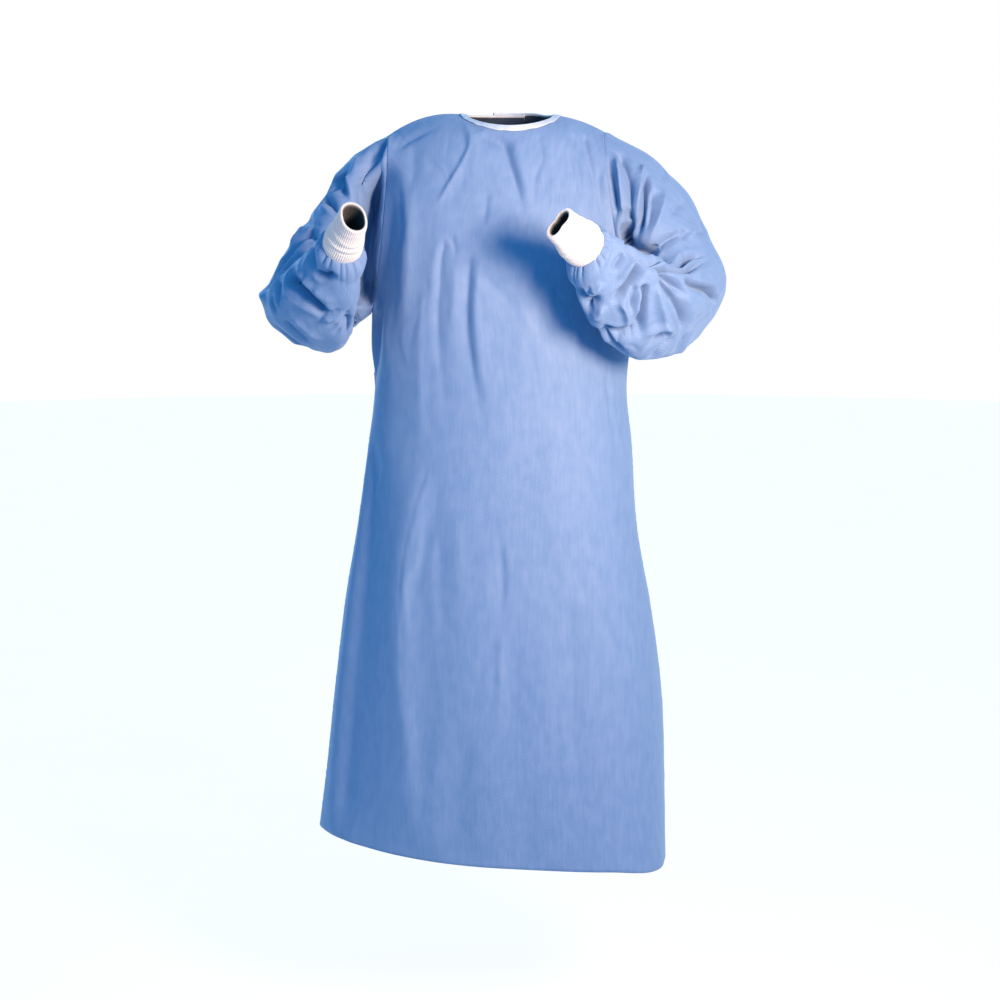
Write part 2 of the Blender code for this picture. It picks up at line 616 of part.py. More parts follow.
def overlap_at(z):
    """Half width of the back overlap at a height, and how far the upper panel stands out."""
    return tuple(float(smooth(OVERLAP["z"], OVERLAP[name], z)) for name in ("half_width", "lift"))


def back_grids(lines):
    """Grids of the two back panels.  The left one starts at its seam and lies over the right one."""
    left, right, lifts = [], [], []
    for line in lines:
        line = line[::-1]
        length = line_length(line)
        half_width, lift = overlap_at(float(line[len(line) // 2, 2]))
        share = half_width / length
        left.append(spread(line, BACK_COLUMNS + 1, 0.0, 0.5 + share))
        right.append(spread(line, BACK_COLUMNS + 1, 0.5 - share, 1.0))
        place = np.linspace(0.0, 0.5 + share, BACK_COLUMNS + 1) * length
        lifts.append(lift * ease((place - (length * 0.5 - half_width - LIFT_RUN)) / LIFT_RUN))
    lifts = np.array(lifts)
    return with_tape_row(np.array(left)), with_tape_row(np.array(right)), np.concatenate((lifts[:1], lifts))


def armhole_ring(side, front, back):
    """The closed seam where a sleeve is set in: down the front edge, up the back edge."""
    column, back_column = (0, -1) if side == RIGHT else (-1, 0)
    down = front[TIP_ROW:PIT_ROW + 1, column]
    up = back[TIP_ROW + 1:PIT_ROW, back_column][::-1]
    return np.concatenate((down, up))


def gown_grids():
    """The grid of points of every cloth piece, by name."""
    front = with_tape_row(np.array([spread(line, FRONT_COLUMNS + 1) for line in body_lines(FRONT)]))
    back_left, back_right, lifts = back_grids(body_lines(BACK))
    front = press_panel_folds(front, FRONT_FOLDS, seam_fade(front, (0, -1)))
    back_left = press_panel_folds(back_left, BACK_FOLDS, seam_fade(back_left, (0,)))
    back_right = press_panel_folds(back_right, BACK_FOLDS, seam_fade(back_right, (-1,)))
    back_left = back_left + surface_normals(back_left) * lifts[..., None]
    return {"front": front, "back_left": back_left, "back_right": back_right,
            "sleeve_left": sleeve_grid(LEFT, armhole_ring(LEFT, front, back_left)),
            "sleeve_right": sleeve_grid(RIGHT, armhole_ring(RIGHT, front, back_right))}


def meeting_points(normals):
    """Which points meet at each seam, as groups for share_normals."""
    groups = []
    for column, back, back_column, sleeve in ((0, "back_right", -1, "sleeve_right"),
                                              (-1, "back_left", 0, "sleeve_left")):
        for row in range(len(normals["front"])):
            ends = [(normals["front"], (row, column)), (normals[back], (row, back_column))]
            if TIP_ROW < row < PIT_ROW:
                groups.append([ends[0], (normals[sleeve], (0, row - TIP_ROW))])
                groups.append([ends[1], (normals[sleeve], (0, (TIP_ROW - row) % SLEEVE_SIDES))])
            elif row in (TIP_ROW, PIT_ROW):
                groups.append(ends + [(normals[sleeve], (0, row - TIP_ROW))])
            else:
                groups.append(ends)
    return groups


def add_panel(name, grid, normals, face, seams):
    """A body panel, its sewn edges drawn back from their seams."""
    shift = np.zeros(grid.shape)
    for side, column in seams:
        to_face, to_middle = (0.0, face, 0.0), (-side, 0.0, -1.0)
        for start, stop, towards, gap in ((0, TIP_ROW, to_face, SEAM_GAP),
                                          (TIP_ROW, PIT_ROW, to_middle, ARMHOLE_GAP),
                                          (PIT_ROW, len(grid) - 1, to_face, SEAM_GAP)):
            rows = slice(start, stop + 1)
            shift[rows, column] += seam_shift(grid[rows, column], normals[rows, column], towards, gap)
    add_wall(name, grid + shift, grid - normals * CLOTH + shift, "nonwoven")


def add_sleeve(name, side, grid, normals):
    """A sleeve, its head drawn back from the armhole seam."""
    shift = np.zeros(grid.shape)
    shift[0] = seam_shift(grid[0], normals[0], (side, 0.0, 1.0), ARMHOLE_GAP, closed=True)
    normals[-1] = unit(grid[-1] - np.array(CUFFS[side]["base"]))
    add_wall(name, grid + shift, grid - normals * CLOTH + shift, "nonwoven", closed=True)


def add_cuff(name, side):
    """A knitted tube from the sleeve's end to its mouth, wrinkled across on its outside."""
    base, mouth, axis, over, crook = cuff_frame(side)
    cuff = CUFFS[side]
    turns = np.linspace(0.0, 2.0 * math.pi, CUFF_SIDES, endpoint=False)[:, None]
    start = base + axis * SEAM_GAP
    outer, inner = [], []
    for part in np.linspace(0.0, 1.0, CUFF_RINGS + 1):
        radius = cuff["base_radius"] + (cuff["mouth_radius"] - cuff["base_radius"]) * float(ease(part))
        stretch = 1.0 + (cuff["flatness"] - 1.0) * part
        wrinkle = math.sin(CUFF_WRINKLES * 2.0 * math.pi * part) * math.sin(math.pi * part)
        centre = start + (mouth - start) * part
        for grid, size in ((outer, radius + CUFF_WRINKLE_HEIGHT * wrinkle), (inner, radius - KNIT)):
            grid.append(centre + over * np.cos(turns) * size / stretch
                        + crook * np.sin(turns) * size * stretch)
    add_wall(name, np.array(outer), np.array(inner), "knit", closed=True)


def add_neck_tape(grids, normals):
    """The tape folded over the neck edge, from one back opening round the front to the other."""
    edge, low = (np.concatenate((grids["back_right"][row, :-1], grids["front"][row, :-1],
                                 grids["back_left"][row])) for row in (0, 1))
    way, low_way = (np.concatenate((normals["back_right"][row, :-1], normals["front"][row, :-1],
                                    normals["back_left"][row])) for row in (0, 1))
    up = unit(edge - low)
    out = LAID_GAP + TAPE
    rounding = TAPE / 2.0
    crest = up * (LAID_GAP + 0.8 * TAPE)
    profile = (low + low_way * out,
               edge + way * out,
               edge + way * (out - rounding) + crest,
               edge - way * (CLOTH + out - rounding) + crest,
               edge - way * (CLOTH + out),
               low - low_way * (CLOTH + out),
               low - low_way * (CLOTH + LAID_GAP),
               edge - way * (CLOTH + LAID_GAP) + up * LAID_GAP,
               edge + way * LAID_GAP + up * LAID_GAP,
               low + low_way * LAID_GAP)
    add_strip("neck_tape", np.array(profile), "tape", TAPE_ACROSS, rising=(0, 6))


# ----- Waist ties --------------------------------------------------------------------------------

def column_width(grid):
    """Width of one column of a panel beside the knot."""
    column = int(KNOT_COLUMN)
    return float(np.linalg.norm(grid[TIE_ROW, column + 1] - grid[TIE_ROW, column]))


def band_station(grid, normals, upper, lower, lift):
    """The four corners of a flat band over a panel, between two (row, column) places."""
    corners = ((upper, lift + TAPE), (lower, lift + TAPE), (lower, lift), (upper, lift))
    return [above_panel(grid, normals, row, column, height) for (row, column), height in corners]


def tie_stations(grid, normals, rows):
    """Stations of a tie that runs across a panel, along its two waist rows."""
    middle = TIE_ROW + 0.5
    return [band_station(grid, normals, (middle - row["half_share"], row["column"]),
                         (middle + row["half_share"], row["column"]), row["lift"]) for row in rows]


def add_ties(grids, normals):
    """The two ties, from where each is sewn on to the knot."""
    under, upper = "back_right", "back_left"
    reach = KNOT_HALF_WIDTH / column_width(grids[under])
    ends = [dict(column=KNOT_COLUMN + way * reach, half_share=KNOT_TIE_SHARE, lift=KNOT_TIE_LIFT)
            for way in (LEFT, RIGHT)]
    right = tie_stations(grids[under], normals[under], table_rows(RIGHT_TIE) + [ends[0]])
    left = (tie_stations(grids[upper], normals[upper], table_rows(LEFT_TIE_SEWN))
            + tie_stations(grids[under], normals[under], table_rows(LEFT_TIE_FREE) + [ends[1]]))
    for name, stations in (("waist_tie_right", right), ("waist_tie_left", left)):
        add_strip(name, np.array(stations).transpose(1, 0, 2), "nonwoven", BAND_ACROSS)


def add_tails(grid, normals):
    """The free ends of the ties, hanging below the knot."""
    width = column_width(grid)
    for name, rows in TAILS.items():
        stations = []
        for row in table_rows(rows):
            sides = [KNOT_COLUMN + (row["across"] + way * row["half_width"]) / width for way in (-1.0, 1.0)]
            stations.append(band_station(grid, normals, (row["row"], sides[0]), (row["row"], sides[1]),
                                         row["lift"]))
        add_strip("waist_tail_" + name, np.array(stations).transpose(1, 0, 2), "nonwoven", BAND_ACROSS)


def add_knot(grid, normals):
    """The knot: a flattened round lump just off the under back panel."""
    row = TIE_ROW + 0.5
    centre = above_panel(grid, normals, row, KNOT_COLUMN, KNOT_LIFT)
    out = unit(centre - above_panel(grid, normals, row, KNOT_COLUMN, 0.0))
    across = unit(grid[TIE_ROW, int(KNOT_COLUMN) + 1] - grid[TIE_ROW, int(KNOT_COLUMN)])
    across = unit(across - out * float(across @ out))
    down = np.cross(out, across)
    points = [centre - out * KNOT_HALF_DEPTH]
    for ring in range(1, KNOT_RINGS):
        tilt = math.pi * ring / KNOT_RINGS
        for side in range(KNOT_SIDES):
            turn = 2.0 * math.pi * side / KNOT_SIDES
            aside, below = (math.copysign(abs(part) ** KNOT_SQUARENESS, part)
                            for part in (math.cos(turn), math.sin(turn)))
            size = math.sin(tilt) ** KNOT_FULLNESS
            points.append(centre + across * KNOT_HALF_WIDTH * size * aside
                          + down * KNOT_HALF_HEIGHT * size * below
                          - out * KNOT_HALF_DEPTH * math.cos(tilt))
    points.append(centre + out * KNOT_HALF_DEPTH)
    faces = []
    for side in range(KNOT_SIDES):
        beside = (side + 1) % KNOT_SIDES
        faces.append((0, 1 + beside, 1 + side))
        for ring in range(KNOT_RINGS - 2):
            here = 1 + ring * KNOT_SIDES
            faces += quad(here + side, here + beside, here + KNOT_SIDES + beside, here + KNOT_SIDES + side)
        last = 1 + (KNOT_RINGS - 2) * KNOT_SIDES
        faces.append((last + side, last + beside, len(points) - 1))
    add_object("waist_knot", points, faces, "nonwoven")


def main():
    """Clears the scene and builds the gown."""
    for thing in list(bpy.data.objects):
        bpy.data.objects.remove(thing, do_unlink=True)
    grids = gown_grids()
    normals = {name: surface_normals(grid, closed=name.startswith("sleeve"))
               for name, grid in grids.items()}
    share_normals(meeting_points(normals))
    for name, face, seams in (("front", FRONT, ((RIGHT, 0), (LEFT, -1))),
                              ("back_left", BACK, ((LEFT, 0),)),
                              ("back_right", BACK, ((RIGHT, -1),))):
        add_panel(name + "_panel", grids[name], normals[name], face, seams)
    for name, side in (("left", LEFT), ("right", RIGHT)):
        add_sleeve("sleeve_" + name, side, grids["sleeve_" + name], normals["sleeve_" + name])
        add_cuff("cuff_" + name, side)
    add_neck_tape(grids, normals)
    add_ties(grids, normals)
    add_tails(grids["back_right"], normals["back_right"])
    add_knot(grids["back_right"], normals["back_right"])


main()
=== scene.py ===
"""Looks of a disposable surgical gown that keeps the hollow shape it has when worn.

Thin shells of nonwoven cloth are pressed with listed creases over the gown's worked-out form.
Ribbed knitted cuffs, a folded neck tape with its stitches, and knotted waist ties finish it.
Metres, +Z up, the front faces -Y; left and right are the wearer's, and left is +X.
"""

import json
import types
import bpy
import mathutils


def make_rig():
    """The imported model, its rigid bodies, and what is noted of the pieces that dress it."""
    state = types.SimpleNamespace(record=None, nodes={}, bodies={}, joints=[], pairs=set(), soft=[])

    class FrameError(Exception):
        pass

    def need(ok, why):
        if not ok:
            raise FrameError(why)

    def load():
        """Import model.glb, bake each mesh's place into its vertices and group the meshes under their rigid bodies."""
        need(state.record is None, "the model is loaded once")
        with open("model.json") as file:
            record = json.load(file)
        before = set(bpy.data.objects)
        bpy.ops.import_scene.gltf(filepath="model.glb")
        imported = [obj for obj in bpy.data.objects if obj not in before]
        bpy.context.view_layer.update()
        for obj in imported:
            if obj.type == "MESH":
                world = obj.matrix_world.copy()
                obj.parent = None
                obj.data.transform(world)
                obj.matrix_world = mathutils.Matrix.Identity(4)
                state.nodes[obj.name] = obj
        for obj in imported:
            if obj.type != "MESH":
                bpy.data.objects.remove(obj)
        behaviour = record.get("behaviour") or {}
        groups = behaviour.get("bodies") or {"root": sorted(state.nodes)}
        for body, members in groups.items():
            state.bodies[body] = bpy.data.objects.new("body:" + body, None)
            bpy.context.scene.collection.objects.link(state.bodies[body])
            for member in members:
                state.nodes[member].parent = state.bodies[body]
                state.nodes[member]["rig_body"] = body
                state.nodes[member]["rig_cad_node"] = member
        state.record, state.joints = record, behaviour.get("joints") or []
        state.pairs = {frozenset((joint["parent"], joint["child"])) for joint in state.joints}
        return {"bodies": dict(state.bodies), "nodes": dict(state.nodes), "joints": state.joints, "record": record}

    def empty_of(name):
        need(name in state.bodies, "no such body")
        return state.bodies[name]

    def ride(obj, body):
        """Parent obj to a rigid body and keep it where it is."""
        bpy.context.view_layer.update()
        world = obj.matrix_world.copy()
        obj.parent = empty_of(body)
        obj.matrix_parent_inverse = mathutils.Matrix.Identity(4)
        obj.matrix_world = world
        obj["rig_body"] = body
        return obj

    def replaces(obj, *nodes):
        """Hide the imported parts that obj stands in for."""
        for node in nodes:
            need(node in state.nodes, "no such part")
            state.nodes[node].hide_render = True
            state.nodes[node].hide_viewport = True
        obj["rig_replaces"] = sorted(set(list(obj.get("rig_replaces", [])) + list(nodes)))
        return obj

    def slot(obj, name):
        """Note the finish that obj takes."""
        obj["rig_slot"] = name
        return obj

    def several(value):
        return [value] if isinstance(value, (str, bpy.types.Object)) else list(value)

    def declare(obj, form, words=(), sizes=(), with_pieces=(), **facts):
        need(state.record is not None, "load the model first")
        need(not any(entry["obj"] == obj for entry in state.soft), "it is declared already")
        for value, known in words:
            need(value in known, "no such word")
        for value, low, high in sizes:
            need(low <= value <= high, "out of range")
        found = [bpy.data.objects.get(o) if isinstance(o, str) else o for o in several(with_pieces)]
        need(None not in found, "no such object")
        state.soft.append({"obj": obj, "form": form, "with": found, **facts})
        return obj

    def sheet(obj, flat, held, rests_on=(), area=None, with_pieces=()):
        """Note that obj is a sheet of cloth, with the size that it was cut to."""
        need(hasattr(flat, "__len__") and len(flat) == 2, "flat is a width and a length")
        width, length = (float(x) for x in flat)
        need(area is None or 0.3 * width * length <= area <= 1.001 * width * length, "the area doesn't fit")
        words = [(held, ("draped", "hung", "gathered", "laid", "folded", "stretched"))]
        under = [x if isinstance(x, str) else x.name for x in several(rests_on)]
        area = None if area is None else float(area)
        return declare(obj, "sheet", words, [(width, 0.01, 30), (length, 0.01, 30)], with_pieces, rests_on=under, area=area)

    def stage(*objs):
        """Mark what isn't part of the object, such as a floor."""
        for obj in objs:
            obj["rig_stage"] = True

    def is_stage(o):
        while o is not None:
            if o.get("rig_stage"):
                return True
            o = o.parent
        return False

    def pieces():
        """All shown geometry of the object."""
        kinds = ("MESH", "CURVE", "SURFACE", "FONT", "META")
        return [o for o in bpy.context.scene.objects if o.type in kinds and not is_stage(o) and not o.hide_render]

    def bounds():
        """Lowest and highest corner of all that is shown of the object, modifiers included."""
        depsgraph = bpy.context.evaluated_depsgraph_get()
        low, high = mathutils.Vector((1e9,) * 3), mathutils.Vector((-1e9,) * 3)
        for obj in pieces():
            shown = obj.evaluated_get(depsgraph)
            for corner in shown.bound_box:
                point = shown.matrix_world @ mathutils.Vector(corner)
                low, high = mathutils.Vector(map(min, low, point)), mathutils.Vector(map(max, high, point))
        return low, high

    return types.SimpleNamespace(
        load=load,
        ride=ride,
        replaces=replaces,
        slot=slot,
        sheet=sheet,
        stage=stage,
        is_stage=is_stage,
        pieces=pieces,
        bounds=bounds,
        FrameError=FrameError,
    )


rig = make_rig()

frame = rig.load()
CAD_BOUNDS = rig.bounds()

import json
import logging
import math
from collections.abc import Callable, Iterable, Sequence
from dataclasses import dataclass, field, replace
from enum import Enum

import bmesh
import bpy
import numpy as np
from mathutils import Vector, noise

log = logging.getLogger("gown")

Array = np.ndarray
Table = dict[str, Array]
Place = tuple[float, float]
Point = tuple[float, float, float]
Material = bpy.types.Material
Piece = bpy.types.Object
Socket = bpy.types.NodeSocket
MM = 1000.0  # millimetres in a metre
SIZE_FILE = "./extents.json"
BODY = "root"


class Side(Enum):
    """A side of the garment, as the wearer has it; the value is its sign along X."""

    LEFT = 1.0
    RIGHT = -1.0


class Face(Enum):
    """The front or the back of the body; the value is its sign along Y."""

    FRONT = -1.0
    BACK = 1.0


# ----- Numbers and lines -----


def table(columns: str, *rows: Sequence[float]) -> Table:
    """A small table.

    Args:
        columns: names of the columns, parted by spaces; one that ends in _mm is in millimetres.
        rows: one sequence of numbers for each row.

    Returns:
        One array of numbers for each column name without that ending, in metres where it had it.
    """
    return {name.removesuffix("_mm"): values / (MM if name.endswith("_mm") else 1.0)
            for name, values in zip(columns.split(), np.array(rows, float).T)}


def table_rows(columns: Table) -> list[dict[str, float]]:
    """The rows of a table, each as a dictionary of its named values."""
    count = len(next(iter(columns.values())))
    return [{name: float(values[row]) for name, values in columns.items()} for row in range(count)]


def unit(vectors: Array) -> Array:
    """Vectors scaled to length one, along the last axis."""
    length = np.linalg.norm(vectors, axis=-1, keepdims=True)
    return vectors / np.maximum(length, 1e-12)


def ease(value: Array | float) -> Array:
    """A soft step from 0 to 1."""
    value = np.clip(value, 0.0, 1.0)
    return value * value * (3.0 - 2.0 * value)


def bell(value: Array) -> Array:
    """A round bump, 1 at zero and near 0 past two."""
    return np.exp(-value * value)


def smooth(keys: Array, values: Array, at: Array | float) -> Array:
    """A smooth curve through given values.

    Args:
        keys: places of the values, rising or falling.
        values: one number or one vector for each key.
        at: the place or places to read.

    Returns:
        The curve's value at each place.
    """
    keys, values = np.asarray(keys, float), np.asarray(values, float)
    if keys[0] > keys[-1]:
        keys, values = keys[::-1], values[::-1]
    slopes = np.gradient(values, keys, axis=0)
    at = np.clip(at, keys[0], keys[-1])
    low = np.clip(np.searchsorted(keys, at, side="right") - 1, 0, len(keys) - 2)
    step = keys[low + 1] - keys[low]
    part = (at - keys[low]) / step
    if values.ndim > 1 and np.ndim(at) > 0:
        step, part = step[:, None], part[:, None]
    return ((1.0 + 2.0 * part) * (1.0 - part) ** 2 * values[low]
            + part * (1.0 - part) ** 2 * step * slopes[low]
            + part ** 2 * (3.0 - 2.0 * part) * values[low + 1]
            - part ** 2 * (1.0 - part) * step * slopes[low + 1])


def spread(line: Array, places: Array) -> Array:
    """Points of a line at given fractions of its length."""
    steps = np.linalg.norm(np.diff(line, axis=0), axis=1)
    along = np.concatenate(([0.0], np.cumsum(steps)))
    return np.stack([np.interp(places * along[-1], along, line[:, axis]) for axis in range(3)], axis=1)


def line_length(line: Array) -> float:
    """Length of a line of points."""
    return float(np.linalg.norm(np.diff(line, axis=0), axis=1).sum())


def lengths_along(grid: Array, axis: int) -> Array:
    """Distance from the first row or column of a grid to each of its points, along the cloth."""
    steps = np.linalg.norm(np.diff(grid, axis=axis), axis=2)
    start = np.zeros((1, grid.shape[1]) if axis == 0 else (grid.shape[0], 1))
    return np.concatenate((start, np.cumsum(steps, axis=axis)), axis=axis)


def nearest_on(points: Array, line: Array) -> tuple[Array, Array, Array]:
    """The place of a line that lies nearest to each point.

    Args:
        points: the points, in two or three coordinates.
        line: the points of the line.

    Returns:
        For each point how far along the line that place is, from 0 to 1, the offset from it, and
        the line's step that it is on.
    """
    steps = np.diff(line, axis=0)
    offsets = points[:, None] - line[:-1]
    part = np.clip((offsets * steps).sum(-1) / (steps ** 2).sum(-1), 0.0, 1.0)
    gaps = offsets - part[..., None] * steps
    best = (gaps ** 2).sum(-1).argmin(axis=1)
    pick = np.arange(len(points))
    return (best + part[pick, best]) / len(steps), gaps[pick, best], steps[best]


def ringed(grid: Array) -> Array:
    """A tube's grid with its first column once more at the end."""
    return np.concatenate((grid, grid[:, :1]), axis=1)


def read_grid(grid: Array, row: Array, column: Array, closed: bool) -> Array:
    """Values of a grid of numbers or points at places between its rows and columns.

    Args:
        grid: the grid, rows by columns.
        row: places along its rows.
        column: places along its columns; past the last one they go round if it is closed.
        closed: whether the last column joins the first.

    Returns:
        One value for each place.
    """
    rows, columns = grid.shape[:2]
    row = np.clip(row, 0.0, rows - 1.0)
    top = np.minimum(row.astype(int), rows - 2)
    if closed:
        column = column % columns
        left = column.astype(int) % columns
        beside = (left + 1) % columns
    else:
        column = np.clip(column, 0.0, columns - 1.0)
        left = np.minimum(column.astype(int), columns - 2)
        beside = left + 1
    down, across = row - top, column - left
    if grid.ndim > 2:
        down, across = down[:, None], across[:, None]
    return ((1.0 - down) * ((1.0 - across) * grid[top, left] + across * grid[top, beside])
            + down * ((1.0 - across) * grid[top + 1, left] + across * grid[top + 1, beside]))


def surface_normals(grid: Array, closed: bool = False) -> Array:
    """Unit normals of a grid of points, pointing out of the garment."""
    down = np.gradient(grid, axis=0)
    if closed:
        across = (np.roll(grid, -1, axis=1) - np.roll(grid, 1, axis=1)) / 2.0
        outward = grid - grid.mean(axis=1, keepdims=True)
    else:
        across = np.gradient(grid, axis=1)
        outward = grid * np.array((1.0, 1.0, 0.0))
    normals = unit(np.cross(down, across))
    return normals * np.sign((normals * outward).sum())


# ----- Creases -----


@dataclass(frozen=True)
class Crease:
    """A soft fold pressed into cloth along a route of a few places.

    The places are (x, z) on a body panel and (station, turn) on a sleeve.  A depth below zero
    sinks in, and one above zero stands out as a ridge.
    """

    route: tuple[Place, ...]
    depth: float
    start: float
    end: float
    lean: float = 0.0
    sharp: float = 0.6
    head: float = 0.25
    tail: float = 0.45

    SEGMENTS = 26
    REACH = 4.5
    POINT_FALL = 1.5
    POINT_SOFTNESS = 0.03
    SHOULDER = 0.09
    SHOULDER_AT = 2.1
    SHOULDER_WIDTH = 0.8

    def push(self, grid: Array, normals: Array, line: Array) -> Array:
        """Height of the crease at each point of a grid.

        Args:
            grid: the smooth cloth's points.
            normals: their unit normals.
            line: the crease's route as points on the cloth.

        Returns:
            A height along the normal for each point.
        """
        points = grid.reshape(-1, 3)
        reach = self.REACH * max(self.start, self.end)
        near = np.all((points > line.min(axis=0) - reach) & (points < line.max(axis=0) + reach), axis=1)
        along, gap, step = nearest_on(points[near], line)
        aside = np.sign((np.cross(step, normals.reshape(-1, 3)[near]) * gap).sum(-1))
        width = (self.start + (self.end - self.start) * along) * (1.0 + self.lean * aside)
        ratio = np.linalg.norm(gap, axis=1) / width
        soft = self.POINT_SOFTNESS
        pointed = np.exp(-self.POINT_FALL * (np.sqrt(ratio ** 2 + soft) - math.sqrt(soft)))
        shape = self.sharp * pointed + (1.0 - self.sharp) * bell(ratio)
        shape -= self.SHOULDER * bell((ratio - self.SHOULDER_AT) / self.SHOULDER_WIDTH)
        ends = ease(along / self.head) * ease((1.0 - along) / self.tail)
        heights = np.zeros(len(points))
        heights[near] = self.depth * shape * ends
        return heights.reshape(grid.shape[:2])

    def line_on(self, grid: Array, places: Array, closed: bool) -> Array:
        """The crease's route as points on the cloth.

        Args:
            grid: the smooth cloth's points.
            places: the route's (row, column) places on the grid.
            closed: whether the grid is a tube.

        Returns:
            Points along a smooth curve through those places.
        """
        keys = np.arange(len(places), dtype=float)
        at = np.linspace(0.0, keys[-1], self.SEGMENTS + 1)
        curve = smooth(keys, places, at)
        return read_grid(grid, curve[:, 0], curve[:, 1], closed)


def creases(per_unit: float, *rows: Sequence) -> tuple[Crease, ...]:
    """Creases from rows of given values.

    Args:
        per_unit: MM where the routes are in millimetres, and 1 for stations and turns.
        rows: for each crease its route; its depth and its half widths at the start and the end,
            in millimetres; then its lean, sharpness, head and tail as far as they aren't usual.

    Returns:
        The creases, in metres.
    """
    return tuple(Crease(tuple((first / per_unit, second / per_unit) for first, second in route),
                        depth / MM, start / MM, end / MM, *rest)
                 for route, depth, start, end, *rest in rows)


@dataclass(frozen=True)
class Crumple:
    """Small creases strewn over a piece, uneven in place, length, direction and depth.

    Heading 0 runs along the rows, and 90 down the columns, in degrees.
    """

    count: int
    length: Place
    depth: Place
    half_width: Place
    heading: float
    scatter: float
    seed: int
    rows: Place = (0.02, 0.98)
    columns: Place = (0.03, 0.97)

    BEND = 0.18

    def creases(self, grid: Array) -> Iterable[tuple[Crease, Array]]:
        """Each small crease with its (row, column) places on a grid."""
        draw = np.random.default_rng(self.seed)
        rows, columns = grid.shape[:2]
        for _ in range(self.count):
            row = draw.uniform(*self.rows) * (rows - 2)
            column = draw.uniform(*self.columns) * (columns - 2)
            angle = math.radians(self.heading + draw.normal(0.0, self.scatter))
            length = draw.uniform(*self.length)
            bend = draw.normal(0.0, self.BEND)
            here = grid[int(row), int(column)]
            down = np.linalg.norm(grid[int(row) + 1, int(column)] - here)
            across = np.linalg.norm(grid[int(row), int(column) + 1] - here)
            way = np.array((math.sin(angle) * length / down, math.cos(angle) * length / across))
            side = np.array((math.cos(angle) * length / down, -math.sin(angle) * length / across))
            middle = np.array((row, column))
            places = np.array((middle - way / 2.0, middle + side * bend, middle + way / 2.0))
            width = draw.uniform(*self.half_width)
            crease = Crease((), draw.uniform(*self.depth) * draw.choice((-1.0, -1.0, 1.0)), width,
                            width * draw.uniform(0.5, 1.3), lean=draw.uniform(-0.4, 0.4),
                            sharp=draw.uniform(0.4, 0.9), head=0.4, tail=0.5)
            yield crease, places


@dataclass(frozen=True)
class Unevenness:
    """Soft swells of cloth that never lies quite flat, or the facets and ridges of stiff cloth."""

    pitch: float
    height: float
    seed: int
    stretch: Point = (1.0, 1.0, 1.0)
    ridged: bool = False

    SEED_STEP = 17.3
    RIDGE_TOP = 0.55
    RIDGE_SOFTNESS = 0.002

    def push(self, grid: Array) -> Array:
        """Height of the swells at each point of a grid."""
        scaled = grid.reshape(-1, 3) * np.array(self.stretch) / self.pitch + self.SEED_STEP * self.seed
        heights = np.array([noise.noise(Vector(point)) for point in scaled.tolist()])
        if self.ridged:
            heights = self.RIDGE_TOP - 2.0 * np.sqrt(heights ** 2 + self.RIDGE_SOFTNESS)
        return self.height * heights.reshape(grid.shape[:2])


# ----- Node trees -----


class NodeGraph:
    """A node tree with short ways to add and join its nodes."""

    def __init__(self, tree: bpy.types.NodeTree) -> None:
        """Keeps the tree that the nodes go into."""
        self.tree = tree

    def add(self, kind: str, inputs: dict[str | int, object] | None = None,
            **settings: object) -> bpy.types.Node:
        """Adds a node.

        Args:
            kind: the node's type.
            inputs: a socket to join or a plain value for each input, by its name or number.
            settings: the node's properties.

        Returns:
            The new node.
        """
        node = self.tree.nodes.new(kind)
        for name, value in settings.items():
            setattr(node, name, value)
        for name, value in (inputs or {}).items():
            if isinstance(value, Socket):
                self.tree.links.new(value, node.inputs[name])
            else:
                node.inputs[name].default_value = value
        return node

    def math(self, operation: str, *values: object) -> Socket:
        """One step of arithmetic on sockets or numbers."""
        return self.add("ShaderNodeMath", dict(enumerate(values)), operation=operation).outputs[0]


